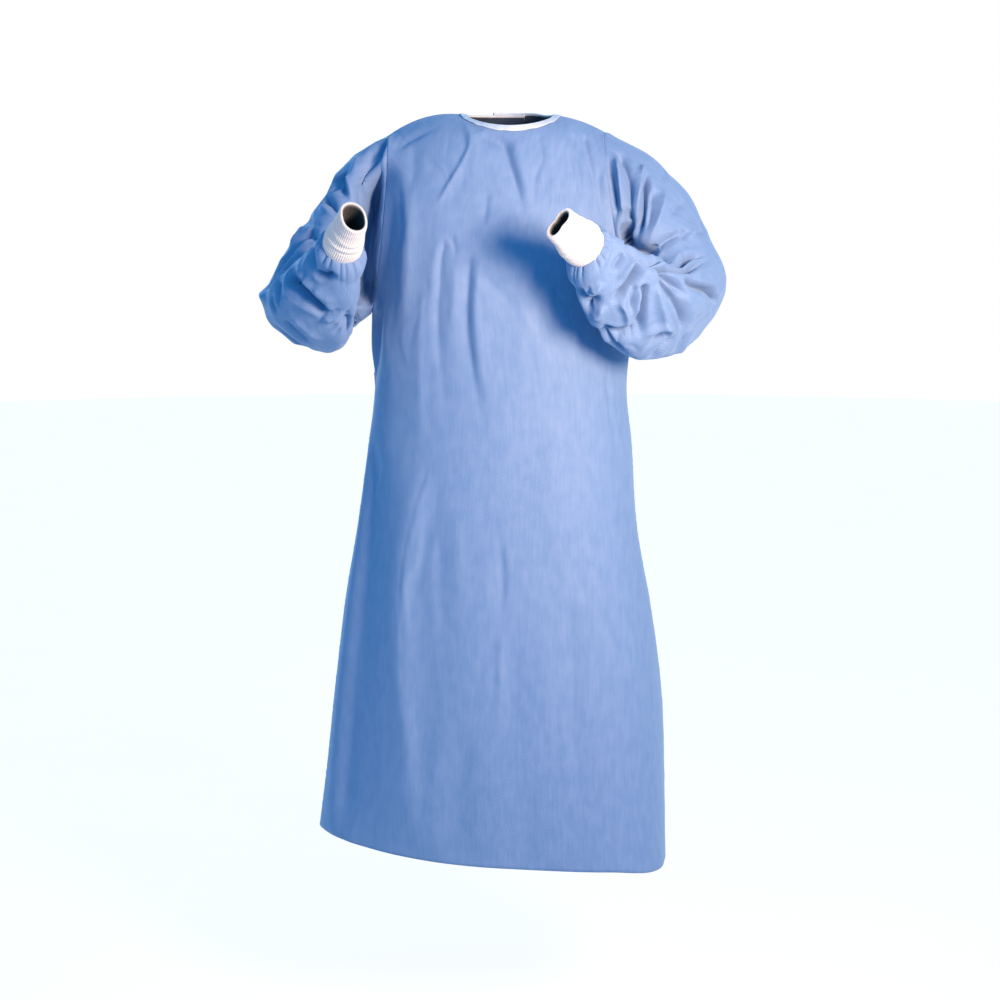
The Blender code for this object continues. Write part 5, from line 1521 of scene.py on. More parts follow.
LEFT_ARM_FOLDS = FoldTable(
    creases(
        1.0,
        # upper arm, running down from the armhole
        (((0.04, 0.12), (0.14, 0.175), (0.16, 0.215), (0.1, 0.262)), -9, 6, 6.5, 0.2, 0.7, 0.2),
        (((0.3, 0.1), (0.5, 0.149), (0.68, 0.21), (0.66, 0.26)), -12.5, 4.9, 6.6, -0.3, 0.85, 0.15),
        (((0.22, 0.11), (0.34, 0.165), (0.42, 0.22), (0.4, 0.275)), 10.2, 4.1, 5.7, 0, 0.85, 0.2),
        (((0.86, 0.112), (0.98, 0.15), (1.06, 0.215), (1, 0.27)), 11.8, 3.3, 7.4, 0.3, 0.9, 0.15),
        (((1, 0.128), (1.26, 0.18), (1.3, 0.232), (1.12, 0.285)), -22, 5.7, 10.7, 0.3, 0.75, 0.15, 0.2),
        (((0.56, 0.225), (0.6, 0.265), (0.66, 0.32)), -20, 7, 10),
        (((1.4, 0.15), (1.66, 0.205), (1.8, 0.262)), -12.5, 5.7, 8.2, -0.3, 0.8, 0.2),
        (((1.3, 0.02), (1.4, 0.07), (1.35, 0.12)), -5.2, 6.6, 6.6),
        (((1.55, 0.11), (1.85, 0.16), (2.1, 0.205), (2.2, 0.25)), 7.3, 5.7, 7.4, 0, 0.8),
        (((2, 0.06), (2.2, 0.11), (2.3, 0.17)), -8, 6.6, 7.4, 0, 0.8),
        (((2.55, 0.085), (2.95, 0.095), (3.35, 0.12)), 8, 4.9, 5.7, 0, 0.85),
        (((2.7, 0.01), (2.9, 0.055), (2.95, 0.09)), -8, 7.4, 5.7, 0, 0.7),
        # crook, fanning to the elbow
        (((2.6, 0.262), (2.85, 0.24), (3, 0.222), (3.04, 0.18), (2.98, 0.15), (2.8, 0.165)), -13, 7, 5.5, 0,
         0.85, 0.1, 0.2),
        (((2.9, 0.12), (3.1, 0.13), (3.36, 0.153)), -9, 5, 6, 0, 0.9, 0.2),
        (((7.4, 0.135), (6.6, 0.135), (5.5, 0.138), (4.6, 0.122), (4.1, 0.06)), -24, 6.5, 5.5, 0, 0.9, 0.1,
         0.25),
        (((7, 0.1), (5.6, 0.115), (4.6, 0.095), (4.1, 0.048)), 7, 5, 5, 0, 0.85),
        (((7.6, 0.052), (7.23, 0.062), (6.77, 0.078), (5.6, 0.094), (4.8, 0.08), (4.13, 0.035)), -30, 8, 5,
         0, 0.9, 0.08, 0.5),
        (((6.5, 0.04), (6.26, 0.02), (5.28, 0.975), (5.06, 0.932), (4.95, 0.9)), -28, 5, 8, 0.35, 0.9, 0.45,
         0.08),
        (((4.2, 0.3), (4.3, 0.42), (4.4, 0.58)), -13.4, 8.2, 10.7, 0, 0.6, 0.1),
        (((5.2, 0.3), (5.3, 0.42), (5.2, 0.56)), -9.8, 7.4, 9.8, 0, 0.6, 0.1),
        # the forearm's upper side, sunk into the crook
        (((8.7, 0.135), (8.15, 0.112), (7.6, 0.108), (7, 0.13)), -26, 11, 14, 0, 0.45, 0.2, 0.3),
        (((8, 0.1), (7.7, 0.07), (7.45, 0.045)), -9.8, 4.1, 4.9, 0, 0.9, 0.1),
        # forearm, radiating from the crook
        (((7.48, 0.05), (7.2, 0.018), (6.8, 0.99), (6.4, 0.96)), -21.2, 5.7, 6.6, 0.3, 0.85, 0.12),
        (((7.36, 0.018), (7.1, 0.985), (6.6, 0.945)), 10, 4.9, 6.6, 0, 0.8, 0.2),
        (((7.5, 0.022), (7.2, 0.975), (6.85, 0.945), (6.4, 0.885), (6.2, 0.83)), -23.1, 5.7, 9, -0.3, 0.85,
         0.12, 0.3),
        (((7.62, 0), (7.45, 0.945), (7.1, 0.88), (6.9, 0.82)), 11.9, 4.9, 7.4, 0, 0.8),
        (((7.9, 0.99), (7.86, 0.94), (7.72, 0.88), (7.55, 0.825)), -25.7, 5.7, 8.2, 0.35, 0.85, 0.15, 0.25),
        (((8.02, 0.975), (8.02, 0.92), (7.92, 0.862)), 10.9, 4.1, 4.9, 0, 0.85),
        (((8.1, 0.07), (8.3, 0.01), (8.44, 0.965), (8.62, 0.915), (8.76, 0.87)), -30.5, 6.5, 5.5, -0.2, 0.9,
         0.15, 0.3),
        (((8.18, 0.975), (8.22, 0.93), (8.18, 0.875)), -14.2, 4.9, 4.9, 0, 0.85),
        (((8.46, 0.06), (8.66, 0.005), (8.86, 0.95)), 10.9, 4.9, 4.9, 0, 0.85, 0.2),
        (((8.8, 0.075), (9, 0.02), (9.15, 0.96)), -12.3, 4.1, 4.9, 0, 0.85, 0.2),
        (((9.5, 0.7), (9.24, 0.75), (9.06, 0.81), (9.02, 0.87)), -23.9, 7.4, 4.9, 0.3, 0.8, 0.15),
        (((9.34, 0.81), (9.24, 0.86), (9.22, 0.905)), 10.9, 5.7, 4.9, 0, 0.8),
        (((9, 0.79), (9.02, 0.74), (9.16, 0.7)), -15.9, 5.7, 5.7, 0, 0.8),
        (((8.8, 0.85), (8.74, 0.79), (8.8, 0.74)), 10.9, 6.6, 6.6, 0, 0.7),
        (((8.52, 0.76), (8.2, 0.8), (7.9, 0.84), (7.68, 0.8)), -26.5, 10.5, 11, 0.5, 0.85, 0.15),
        (((7.55, 0.825), (7.15, 0.88), (6.84, 0.868), (6.6, 0.83)), 12.8, 4.9, 4.9, 0, 0.85),
        (((7.3, 0.8), (7, 0.85), (6.7, 0.845)), -14.2, 4.9, 5.7, 0, 0.8),
        (((8.52, 0.9), (8.24, 0.88), (8, 0.835)), 11.9, 4.9, 4.9, 0, 0.85),
        (((6.5, 0.85), (6.8, 0.79), (6.7, 0.72)), -14.2, 7.4, 8.2, 0, 0.8),
        (((5.7, 0.91), (6, 0.83), (5.9, 0.74)), -15.9, 7.4, 9, 0.3, 0.8),
        (((8.6, 0.7), (8, 0.72), (7.3, 0.7)), -17.7, 5.7, 8.2, 0, 0.8),
        (((9, 0.62), (8.2, 0.63), (7.4, 0.62)), -12.3, 6.6, 8.2),
        (((9.2, 0.5), (8.2, 0.48), (7, 0.5)), -12.3, 6.6, 9.8, 0, 0.7),
        (((9.2, 0.22), (8.4, 0.22), (7.4, 0.22)), -12.3, 6.6, 9.8, 0, 0.7),
        (((9.2, 0.32), (8.2, 0.33), (6.9, 0.3)), -10.6, 6.6, 9.8, 0, 0.7),
        # hidden side of the upper arm
        (((0.9, 0.62), (2.2, 0.66), (3.6, 0.71)), -9.8, 9, 13.1, -0.3),
        (((0.5, 0.79), (1.7, 0.83), (3, 0.9)), -9.2, 8.2, 13.1, 0.3),
        (((0.3, 0.7), (1.3, 0.72), (2.5, 0.78)), -8.5, 7.4, 10.7, -0.3),
        (((0.9, 0.5), (2, 0.46), (3.4, 0.42)), -9.8, 8.2, 13.1),
        (((1.4, 0.76), (1.9, 0.8), (2.1, 0.89)), -7.3, 6.6, 8.2, 0, 0.8),
        (((2.7, 0.76), (3.4, 0.82), (4, 0.87)), -11, 6.6, 9.8, 0, 0.8),
        (((3.1, 0.66), (3.8, 0.73), (4.5, 0.76)), -9.8, 7.4, 9.8, 0, 0.8)),
    crumples=(
        Crumple(26, (0.030, 0.075), (0.0010, 0.0032), (0.005, 0.010), 10.0, 30.0, 41, rows=(0.06, 0.92),
                columns=(0.0, 1.0)),
        Crumple(24, (0.020, 0.050), (0.0010, 0.0026), (0.004, 0.007), 65.0, 30.0, 42, rows=(0.35, 0.92),
                columns=(0.0, 1.0))),
    swells=(Unevenness(0.060, 0.0030, 7), Unevenness(0.055, 0.0034, 8, ridged=True)))


@dataclass(frozen=True)
class CuffForm:
    """Where a cuff sits and how wide it is."""

    side: Side
    base: Point
    mouth: Point
    base_radius: float
    mouth_radius: float
    flatness: float
    flat_turn: float

    @property
    def axis(self) -> Array:
        """The way from the sewn end to the mouth."""
        return unit(np.array(self.mouth) - np.array(self.base))

    @property
    def crook(self) -> Array:
        """The cross direction towards the crook of the arm."""
        return unit(np.array((0.0, 0.0, 1.0)) - self.axis * self.axis[2])

    @property
    def over(self) -> Array:
        """The cross direction over the arm."""
        return -self.side.value * np.cross(self.axis, self.crook)


RIGHT_CUFF = CuffForm(Side.RIGHT, (-0.2494, -0.240, -0.2094), (-0.2279, -0.292, -0.1667),
                      base_radius=0.0280, mouth_radius=0.0226, flatness=0.16, flat_turn=92.0)
LEFT_CUFF = CuffForm(Side.LEFT, (0.1102, -0.260, -0.2111), (0.0685, -0.307, -0.1757),
                     base_radius=0.0300, mouth_radius=0.0176, flatness=0.38, flat_turn=60.0)


@dataclass
class Sleeve:
    """A set-in sleeve, gathered on to its cuff."""

    cuff: CuffForm
    lines: Table
    folds: FoldTable
    area: float
    flat: Place
    hollow: Hollow
    rings: int = 236
    thickness: float = 0.0006
    sewing: Seamwork = field(default_factory=lambda: Seamwork(fade_run=0.007, groove=0.0002, pucker=0.0008))
    gathers: int = 16
    gather_height: float = 0.0056
    gather_run: float = 0.024
    gather_half: Place = (0.007, 0.012)
    gather_opens: float = 0.018
    gather_starts: float = 0.0025
    gather_reach: float = 0.040
    puff: float = 0.0065
    puff_run: float = 0.026
    wrist_run: float = 0.012
    tuck: float = 0.0030
    tuck_in: Place = (0.0020, 0.0006)
    underlap: float = 0.0014
    hollow_fade: float = 0.010
    gather_seeds: dict[Side, int] = field(default_factory=lambda: {Side.LEFT: 51, Side.RIGHT: 52})

    def stations(self, armhole: Array) -> Array:
        """Closed rings of points: the armhole, one for each row of the table, and the wrist."""
        turns = np.linspace(0.0, 2.0 * math.pi, len(armhole), endpoint=False)[:, None]
        rings = [armhole]
        for row in table_rows(self.lines):
            over, crook, under, elbow = (np.array([row[f"{name}_{axis}"] for axis in "xyz"])
                                         for name in ARM_LINES)
            middle = (over + crook + under + elbow) / 4.0
            oval = (over + under - crook - elbow) / 4.0
            rings.append(middle + (over - under) / 2.0 * np.cos(turns)
                         + (crook - elbow) / 2.0 * np.sin(turns) + oval * np.cos(2.0 * turns))
        cuff = self.cuff
        rings.append(np.array(cuff.base) + cuff.base_radius * (cuff.over * np.cos(turns)
                                                              + cuff.crook * np.sin(turns)))
        return np.array(rings)

    def gather_push(self, turns: Array, to_wrist: Array) -> Array:
        """Uneven gathers that run out of the cuff's seam, over cloth that puffs out there.

        Args:
            turns: turn of each column, from 0 to 1.
            to_wrist: distance of each ring from the cuff's seam.

        Returns:
            A height for each point.
        """
        draw = np.random.default_rng(self.gather_seeds[self.cuff.side])
        valleys = np.zeros((len(to_wrist), len(turns)))
        for number in range(self.gathers):
            middle = (number + draw.uniform(-0.32, 0.32)) / self.gathers
            width = draw.uniform(*self.gather_half)
            run = self.gather_run * draw.uniform(0.45, 1.25)
            gap = (turns - middle - 0.010 * np.sin(number * 2.3) + 0.5) % 1.0 - 0.5
            rise = np.exp(-(to_wrist / run) ** 1.5)
            opened = width * (1.0 + to_wrist / self.gather_opens)[:, None]
            valleys += draw.uniform(0.6, 1.2) * rise[:, None] * np.exp(-1.4 * np.abs(gap)[None, :] / opened)
        puff = self.puff * np.sin(math.pi * np.clip(to_wrist / self.puff_run, 0.0, 1.0)) ** 0.8
        return (self.gather_height * ease(to_wrist / self.gather_starts)[:, None] * (0.35 - valleys)
                * bell(to_wrist / self.gather_reach)[:, None] + puff[:, None])

    def shape(self, armhole: Array) -> tuple[Array, Array]:
        """The sleeve's points with all its creases, and their normals."""
        stations = self.stations(armhole)
        last = len(stations) - 1
        places = np.linspace(0.0, last, self.rings)
        grid = np.array([smooth(np.arange(last + 1), stations, place) for place in places])
        grid[..., 1] += self.hollow.pushed(grid) * ease(lengths_along(grid, 0) / self.hollow_fade)
        normals = surface_normals(grid, closed=True)
        columns = grid.shape[1]
        down = lengths_along(grid, 0)
        to_wrist = (down[-1:] - down).mean(axis=1)
        fade = self.sewing.fade(down) * ease(to_wrist / self.wrist_run)[:, None]

        def place_of(place: Place) -> Place:
            return place[0] / last * (self.rings - 1), place[1] * columns

        heights = pressed(grid, normals, unwound(self.folds), fade, place_of, closed=True)
        turns = np.arange(columns) / columns
        heights += self.gather_push(turns, to_wrist)
        around = lengths_along(ringed(grid), 1)[0, :-1]
        heights += self.sewing.push(down, around[None, :] + np.zeros_like(down)) * (down > 0.0)
        grid = grid + normals * heights[..., None]
        end = bell(to_wrist / self.tuck)[:, None, None]
        inward = unit(np.array(self.cuff.base) - grid[-1])
        ahead, aside = self.tuck_in
        grid = grid + end * (self.cuff.axis * ahead + inward * aside)
        grid[0] = grid[0] - unit(grid[1] - grid[0]) * self.underlap - normals[0] * self.thickness
        return grid, surface_normals(grid, closed=True)

    def dress(self, armhole: Array, finishes: Finishes) -> Piece:
        """Makes the sleeve and declares its cut."""
        name = f"sleeve_{self.cuff.side.name.lower()}"
        grid, normals = self.shape(armhole)
        piece = cloth_piece(f"{name}_cloth", grid, normals, finishes.nonwoven, self.thickness, closed=True,
                            inside=finishes.inside_painted_shade)
        attach(piece, "nonwoven", (name,))
        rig.sheet(piece, flat=self.flat, held="gathered", area=self.area)
        return piece


def unwound(folds: FoldTable) -> FoldTable:
    """The creases with turns that never jump by more than half a turn from place to place."""
    eased = []
    for crease in folds.creases:
        route = [crease.route[0]]
        for station, turn in crease.route[1:]:
            route.append((station, turn - round(turn - route[-1][1])))
        eased.append(replace(crease, route=tuple(route)))
    return replace(folds, creases=tuple(eased))


# ----- Cuffs -----


@dataclass
class Cuff:
    """A ribbed knitted tube, folded back inside itself at its mouth."""

    form: CuffForm
    flat: Place = (0.15, 0.15)
    ribs: int = 56
    columns_per_rib: int = 6
    outer_rings: int = 64
    rim_rings: int = 8
    inner_rings: int = 16
    wall: float = 0.0020
    rim_wall: float = 0.0046
    hidden: float = 0.007
    rib_height: float = 0.00050
    course_height: float = 0.00010
    courses: float = 40.0
    bulge: float = 0.0012
    bulge_at: Place = (0.30, 0.22)
    hidden_taper: float = 0.0022
    mouth_slant: float = 0.0016
    wrinkle_half: float = 0.042
    wrinkle_lean: float = 0.045
    wrinkles: tuple[tuple[float, float, float], ...] = (
        (0.14, 0.0018, 0.2), (0.25, -0.0016, 2.1), (0.36, 0.0015, 3.9), (0.46, -0.0014, 5.2),
        (0.56, 0.0012, 1.0), (0.67, -0.0010, 2.9), (0.80, 0.0006, 4.4))

    def rings(self) -> tuple[Array, ...]:
        """Rings of points down the outside, round the mouth and back up the inside.

        Returns:
            The points, and for each ring how far along the tube it is, how much it is ribbed and
            how deep inside it lies.
        """
        form = self.form
        base, mouth = np.array(form.base), np.array(form.mouth)
        length = float(np.linalg.norm(mouth - base))
        columns = self.ribs * self.columns_per_rib
        turns = np.linspace(0.0, 2.0 * math.pi, columns, endpoint=False)
        half = self.rim_wall / 2.0
        stops = [(part, half, 1.0, 0.0) for part in np.linspace(-self.hidden / length, 1.0 - half / length,
                                                                self.outer_rings)]
        for step in range(1, self.rim_rings):
            turn = math.pi * step / self.rim_rings
            stops.append((1.0 - (1.0 - math.sin(turn)) * half / length, half * math.cos(turn), 0.6,
                          0.5 * float(ease(-math.cos(turn)))))
        stops += [(part, -half, 0.35, float(ease(0.55 + (1.0 - part) * 4.0)))
                  for part in np.linspace(1.0 - half / length, 0.0, self.inner_rings)]
        bulge_at, bulge_run = self.bulge_at
        grid, along, ribbed, depths = [], [], [], []
        for part, side, share, depth in stops:
            seen = float(np.clip(part, 0.0, 1.0))
            radius = form.base_radius + (form.mouth_radius - form.base_radius) * float(ease(seen))
            radius += self.bulge * float(bell((seen - bulge_at) / bulge_run)) + side - self.wall / 2.0
            radius -= self.hidden_taper * float(ease(-part * length / self.hidden))
            side *= 1.0 + (self.wall / self.rim_wall - 1.0) * float(ease((1.0 - seen) / 0.25))
            squash = 1.0 + form.flatness * seen * np.cos(2.0 * (turns - math.radians(form.flat_turn)))
            wave = sum(height * (0.55 + 0.45 * np.sin(turns + 2.0 * phase))
                       * bell((seen - place - self.wrinkle_lean * np.sin(turns + phase)) / self.wrinkle_half)
                       for place, height, phase in self.wrinkles)
            size = ((radius + wave * (1.0 if side > 0.0 else 0.5)) * squash)[:, None]
            centre = base + (mouth - base) * part
            slant = self.mouth_slant * seen * np.sin(turns + 0.6)[:, None] * form.axis
            grid.append(centre + slant + form.over * np.cos(turns)[:, None] * size
                        + form.crook * np.sin(turns)[:, None] * size)
            along.append(part)
            ribbed.append(share)
            depths.append(depth)
        return np.array(grid), np.array(along), np.array(ribbed), np.array(depths)

    def knitting(self, material: Material) -> GeometryTree:
        """The tree that raises ribs and courses out of the smooth tube."""
        tree = GeometryTree("rib_knit", ("Rib Height", "Course Height"))
        rib, course = (tree.math("MULTIPLY", tree.math("SINE", tree.attribute(turn)), tree.start[size])
                       for turn, size in (("rib_turn", "Rib Height"), ("course_turn", "Course Height")))
        height = tree.math("MULTIPLY", tree.math("ADD", rib, course), tree.attribute("ribbed"))
        normal = tree.add("GeometryNodeInputNormal").outputs[0]
        rise = tree.add("ShaderNodeVectorMath", {0: normal, "Scale": height}, operation="SCALE")
        moved = tree.add("GeometryNodeSetPosition",
                         {"Geometry": tree.start["Geometry"], "Offset": rise.outputs[0]})
        tree.close(moved.outputs[0], material)
        return tree

    def dress(self, finishes: Finishes) -> Piece:
        """Makes the cuff and declares its cut."""
        grid, along, ribbed, depths = self.rings()
        normals = unit(grid - grid.mean(axis=1, keepdims=True))
        name = f"cuff_{self.form.side.name.lower()}"
        piece = cloth_piece(f"{name}_knit", grid, normals, finishes.knit, 0.0, closed=True)
        columns = grid.shape[1]
        turn = np.arange(columns) / columns * 2.0 * math.pi * self.ribs
        rib_turn = turn[None, :] + np.zeros((len(grid), 1))
        course_turn = along[:, None] * self.courses * 2.0 * math.pi + rib_turn * 2.0
        each = np.zeros_like(rib_turn)
        store(piece.data, rib_turn=rib_turn, course_turn=course_turn, raised=0.5 + 0.5 * np.sin(rib_turn),
              ribbed=ribbed[:, None] + each, depth=depths[:, None] + each)
        self.knitting(finishes.knit).bake(piece, {"Rib Height": self.rib_height,
                                                  "Course Height": self.course_height})
        attach(piece, "knit", (name,))
        width, length = self.flat
        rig.sheet(piece, flat=self.flat, held="stretched", area=width * length)
        return piece


# ----- Stitches -----


@dataclass(frozen=True)
class StitchRow:
    """A row of small stitches along a line of points."""

    pitch: float = 0.0032
    length: float = 0.0024
    thread: float = 0.00042

    def tree(self, material: Material) -> GeometryTree:
        """The tree that lays one stitch at each even step of a line."""
        tree = GeometryTree("stitches", ("Pitch", "Length", "Thread"))
        line = tree.add("GeometryNodeMeshToCurve", {"Mesh": tree.start["Geometry"]})
        steps = tree.add("GeometryNodeResampleCurve",
                         {"Curve": line.outputs[0], "Length": tree.start["Pitch"]}, mode="LENGTH")
        stitch = tree.add("GeometryNodeMeshUVSphere", {"Segments": 6, "Rings": 4, "Radius": 0.5})
        girth = tree.start["Thread"]
        size = tree.add("ShaderNodeCombineXYZ", {0: tree.start["Length"], 1: girth, 2: girth})
        tangent = tree.add("GeometryNodeInputTangent").outputs[0]
        turn = tree.add("FunctionNodeAlignRotationToVector", {"Vector": tangent}, axis="X")
        laid = tree.add("GeometryNodeInstanceOnPoints", {
            "Points": steps.outputs[0], "Instance": stitch.outputs["Mesh"],
            "Rotation": turn.outputs[0], "Scale": size.outputs[0]})
        tree.close(laid.outputs[0], material)
        return tree

    def sew(self, name: str, lines: Sequence[Array], material: Material) -> Piece:
        """Sews stitches along lines of points.

        Args:
            name: the piece's name.
            lines: one array of points for each row.
            material: the thread.

        Returns:
            The stitches as one piece.
        """
        points, edges = [], []
        for line in lines:
            start = len(points)
            points += line.tolist()
            edges += [(start + step, start + step + 1) for step in range(len(line) - 1)]
        mesh = bpy.data.meshes.new(name)
        mesh.from_pydata(points, edges, [])
        piece = linked(name, mesh)
        self.tree(material).bake(piece, {"Pitch": self.pitch, "Length": self.length, "Thread": self.thread})
        return piece


# ----- Neck tape -----


@dataclass
class NeckTape:
    """Tape folded over the neck edge, from one back opening round the front to the other."""

    width: float = 0.0102
    inner_width: float = 0.0026
    out: float = 0.0012
    cloth: float = 0.0006
    thickness: float = 0.00045
    leaf_points: int = 7
    crest_points: int = 7
    waver: float = 0.0005
    waver_pitches: Place = (0.031, 0.0173)
    flare: float = 0.0002
    stitch_from_edge: float = 0.0017
    stitch_lift: float = 0.00014
    flat_width: float = 0.017

    def shape(self, body: Body) -> tuple[Array, Array, Array]:
        """The tape's points and normals, and the line of its stitches."""
        names = (("back_right", slice(None, -1)), ("front", slice(None, -1)), ("back_left", slice(None)))
        edge = np.concatenate([body.grids[name][0, columns] for name, columns in names])
        way = unit(np.concatenate([body.normals[name][0, columns] for name, columns in names]))
        low = np.concatenate([self.below(body.grids[name], self.width)[columns] for name, columns in names])
        up = unit(edge - low)
        middle = edge - way * self.cloth / 2.0
        radius = self.out + self.cloth / 2.0
        along = lengths_along(edge[None], 1)[0]
        long_wave, short_wave = (np.sin(2.0 * math.pi * along / pitch) for pitch in self.waver_pitches)
        wave = self.waver * (long_wave + 0.6 * short_wave)[:, None]
        profile = []
        for part in np.linspace(0.0, 1.0, self.leaf_points):
            rest = 1.0 - part
            profile.append(middle - up * (self.width * rest + wave * rest)
                           + way * (radius + rest * self.flare))
        for step in range(1, self.crest_points):
            turn = math.pi * step / self.crest_points
            profile.append(middle + (way * math.cos(turn) + up * math.sin(turn)) * radius)
        for part in np.linspace(0.0, 1.0, self.leaf_points):
            profile.append(middle - up * self.inner_width * part - way * radius)
        grid = np.array(profile)
        stitches = (middle - up * (self.width - self.stitch_from_edge)
                    + way * (radius + self.stitch_lift))
        normals = np.array([unit(point - (middle - up * self.width / 2.0)) for point in profile])
        return grid, normals, stitches

    @staticmethod
    def below(grid: Array, distance: float) -> Array:
        """The point of each column that is a given distance below the first row."""
        down = lengths_along(grid, 0)
        return np.array([[np.interp(distance, down[:, column], grid[:, column, axis]) for axis in range(3)]
                         for column in range(grid.shape[1])])

    def dress(self, body: Body, finishes: Finishes) -> list[Piece]:
        """Makes the tape with its stitches and declares its cut."""
        grid, normals, line = self.shape(body)
        tape = cloth_piece("neck_tape_cloth", grid, normals, finishes.tape, self.thickness)
        attach(tape, "tape", ("neck_tape",))
        stitches = StitchRow().sew("neck_stitches", [line], finishes.white_thread)
        attach(stitches, "tape")
        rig.sheet(tape, flat=(self.flat_width, line_length(line)), held="folded", with_pieces=[stitches])
        return [tape, stitches]


# ----- Waist ties -----


@dataclass
class WaistTies:
    """Two ties, knotted over the back, with their free ends hanging down."""

    width: float = 0.025
    thickness: float = 0.0006
    middle_z: float = -0.420
    knot_share: float = 6.4 / 12.0
    knot_lift: float = 0.0058
    knot_half: Point = (0.0170, 0.0110, 0.0052)
    knot_rings: int = 72
    knot_sides: int = 56
    pinch: float = 0.30
    wrap: float = 0.10
    pleats: float = 7.0
    pleat_depth: float = 0.11
    slant: float = 0.075
    stations: int = 90
    across: int = 9
    ripple: float = 0.0030
    curl: float = 0.0007
    curl_pitch: float = 0.022
    sewn_in: float = 0.012
    bar_inset: float = 0.004
    bar_length: float = 0.018
    bar_points: int = 60
    tail_row: int = 18
    right: Table = field(default_factory=lambda: table(
        "share z_mm half_width_mm lift_mm",
        (0.992, -420, 12.5, 0.9),
        (0.917, -420, 12.5, 0.9),
        (0.833, -420.5, 12.2, 1),
        (0.75, -421, 11.5, 1.4),
        (0.667, -420.6, 10, 3),
        (0.6, -420, 7, 4.6),
        (0.556, -420, 5, 5.6)))
    left_sewn: Table = field(default_factory=lambda: table(
        "share z_mm half_width_mm lift_mm",
        (0.93, -420, 12.5, 0.9),
        (0.965, -420, 12.5, 0.9),
        (0.998, -420, 12.5, 1)))
    left_free: Table = field(default_factory=lambda: table(
        "share z_mm half_width_mm lift_mm",
        (0.37, -420, 12.2, 5),
        (0.415, -419.6, 10.8, 5),
        (0.46, -420, 7.5, 5.2),
        (0.506, -420, 5, 5.6)))
    tails: dict[Side, Table] = field(default_factory=lambda: {
        Side.LEFT: table("z_mm aside_mm half_width_mm lift_mm",
                         (-424, -7, 6.2, 6.6),
                         (-447.5, -10.5, 8.2, 6),
                         (-470, -15, 11.2, 5.2),
                         (-515, -19, 12.5, 4),
                         (-565, -20, 12.5, 3.4),
                         (-620, -19, 12.5, 4),
                         (-668, -18, 12.5, 5)),
        Side.RIGHT: table("z_mm aside_mm half_width_mm lift_mm",
                          (-424, 7, 6.2, 6.6),
                          (-447.5, 11, 8.2, 6),
                          (-470, 17, 11.2, 5),
                          (-515, 24, 12.5, 3.6),
                          (-565, 30, 12.5, 3.4),
                          (-620, 34, 12.5, 4.2),
                          (-699, 36.5, 12.5, 5.4))})

    UNDER = "back_right"
    UPPER = "back_left"
    TIE_STEP = (0.01, 0.0)
    TAIL_STEP = (0.0, 0.02)
    KNOT_STEP = 0.03

    def band(self, name: str, parts: list[Array], finishes: Finishes) -> Piece:
        """A band of cloth along a line of stations.

        Args:
            name: the solid's name.
            parts: middles, cross directions, half widths and outward directions of the stations.
            finishes: the gown's finishes.

        Returns:
            The band, in the solid's place.
        """
        keys = np.arange(len(parts[0]), dtype=float)
        at = np.linspace(0.0, keys[-1], self.stations)
        centres, sides, halves, outs = (smooth(keys, part, at) for part in parts)
        sides, outs = unit(sides), unit(outs)
        along = lengths_along(centres[None], 1)[0]
        squeeze = np.clip(1.0 - halves / (self.width / 2.0), 0.0, 1.0)
        grid = []
        for place in np.linspace(-1.0, 1.0, self.across):
            ripple = self.ripple * squeeze * np.cos(3.0 * math.pi * place)
            curl = self.curl * place * place * np.sin(along / self.curl_pitch + 1.1 * place)
            grid.append(centres + sides * (halves * place)[:, None] + outs * (ripple + curl)[:, None])
        grid = np.array(grid).transpose(1, 0, 2)
        normals = np.repeat(outs[:, None], self.across, axis=1)
        piece = cloth_piece(f"{name}_cloth", grid, normals, finishes.nonwoven, self.thickness)
        return attach(piece, "nonwoven", (name,))

    def station(self, body: Body, panel: str, row: dict[str, float], step: Place) -> tuple[Array, ...]:
        """One station of a band that lies over a panel.

        Args:
            body: the body that it lies on.
            panel: the panel.
            row: its height, share of the panel, half width and lift.
            step: how far up and across the panel its cross direction is read.

        Returns:
            Its middle, cross direction, half width and outward direction.
        """
        z, share, lift = row["z"], row["share"], row["lift"] + self.thickness
        middle = body.at(panel, z, share, lift)
        out = unit(middle - body.at(panel, z, share, 0.0))
        across = unit(body.at(panel, z + step[0], share + step[1], lift)
                      - body.at(panel, z - step[0], share - step[1], lift))
        return middle, across, np.array(row["half_width"]), out

    def dress(self, body: Body, finishes: Finishes) -> list[Piece]:
        """Makes the ties, their free ends, the knot and the stitches that hold them on."""
        right = [self.station(body, self.UNDER, row, self.TIE_STEP) for row in table_rows(self.right)]
        left = [self.station(body, panel, row, self.TIE_STEP)
                for panel, rows in ((self.UPPER, self.left_sewn), (self.UNDER, self.left_free))
                for row in table_rows(rows)]
        knot = self.knot(body, finishes)
        pieces = []
        for name, stations, held_by in (("waist_tie_right", right, []), ("waist_tie_left", left, [knot])):
            parts = [np.array(part) for part in zip(*stations)]
            piece = self.band(name, parts, finishes)
            bars = self.bars(name, parts, finishes)
            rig.sheet(piece, flat=(self.width, line_length(parts[0]) + self.sewn_in), held="hung",
                     with_pieces=[bars] + held_by)
            pieces += [piece, bars]
        width = line_length(body.grids[self.UNDER][body.form.pit_row + self.tail_row])
        for side, rows in self.tails.items():
            rows = rows | {"share": self.knot_share + rows["aside"] / width}
            stations = [self.station(body, self.UNDER, row, self.TAIL_STEP) for row in table_rows(rows)]
            parts = [np.array(part) for part in zip(*stations)]
            piece = self.band(f"waist_tail_{side.name.lower()}", parts, finishes)
            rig.sheet(piece, flat=(self.width, line_length(parts[0])), held="hung")
            pieces.append(piece)
        return pieces + [knot]

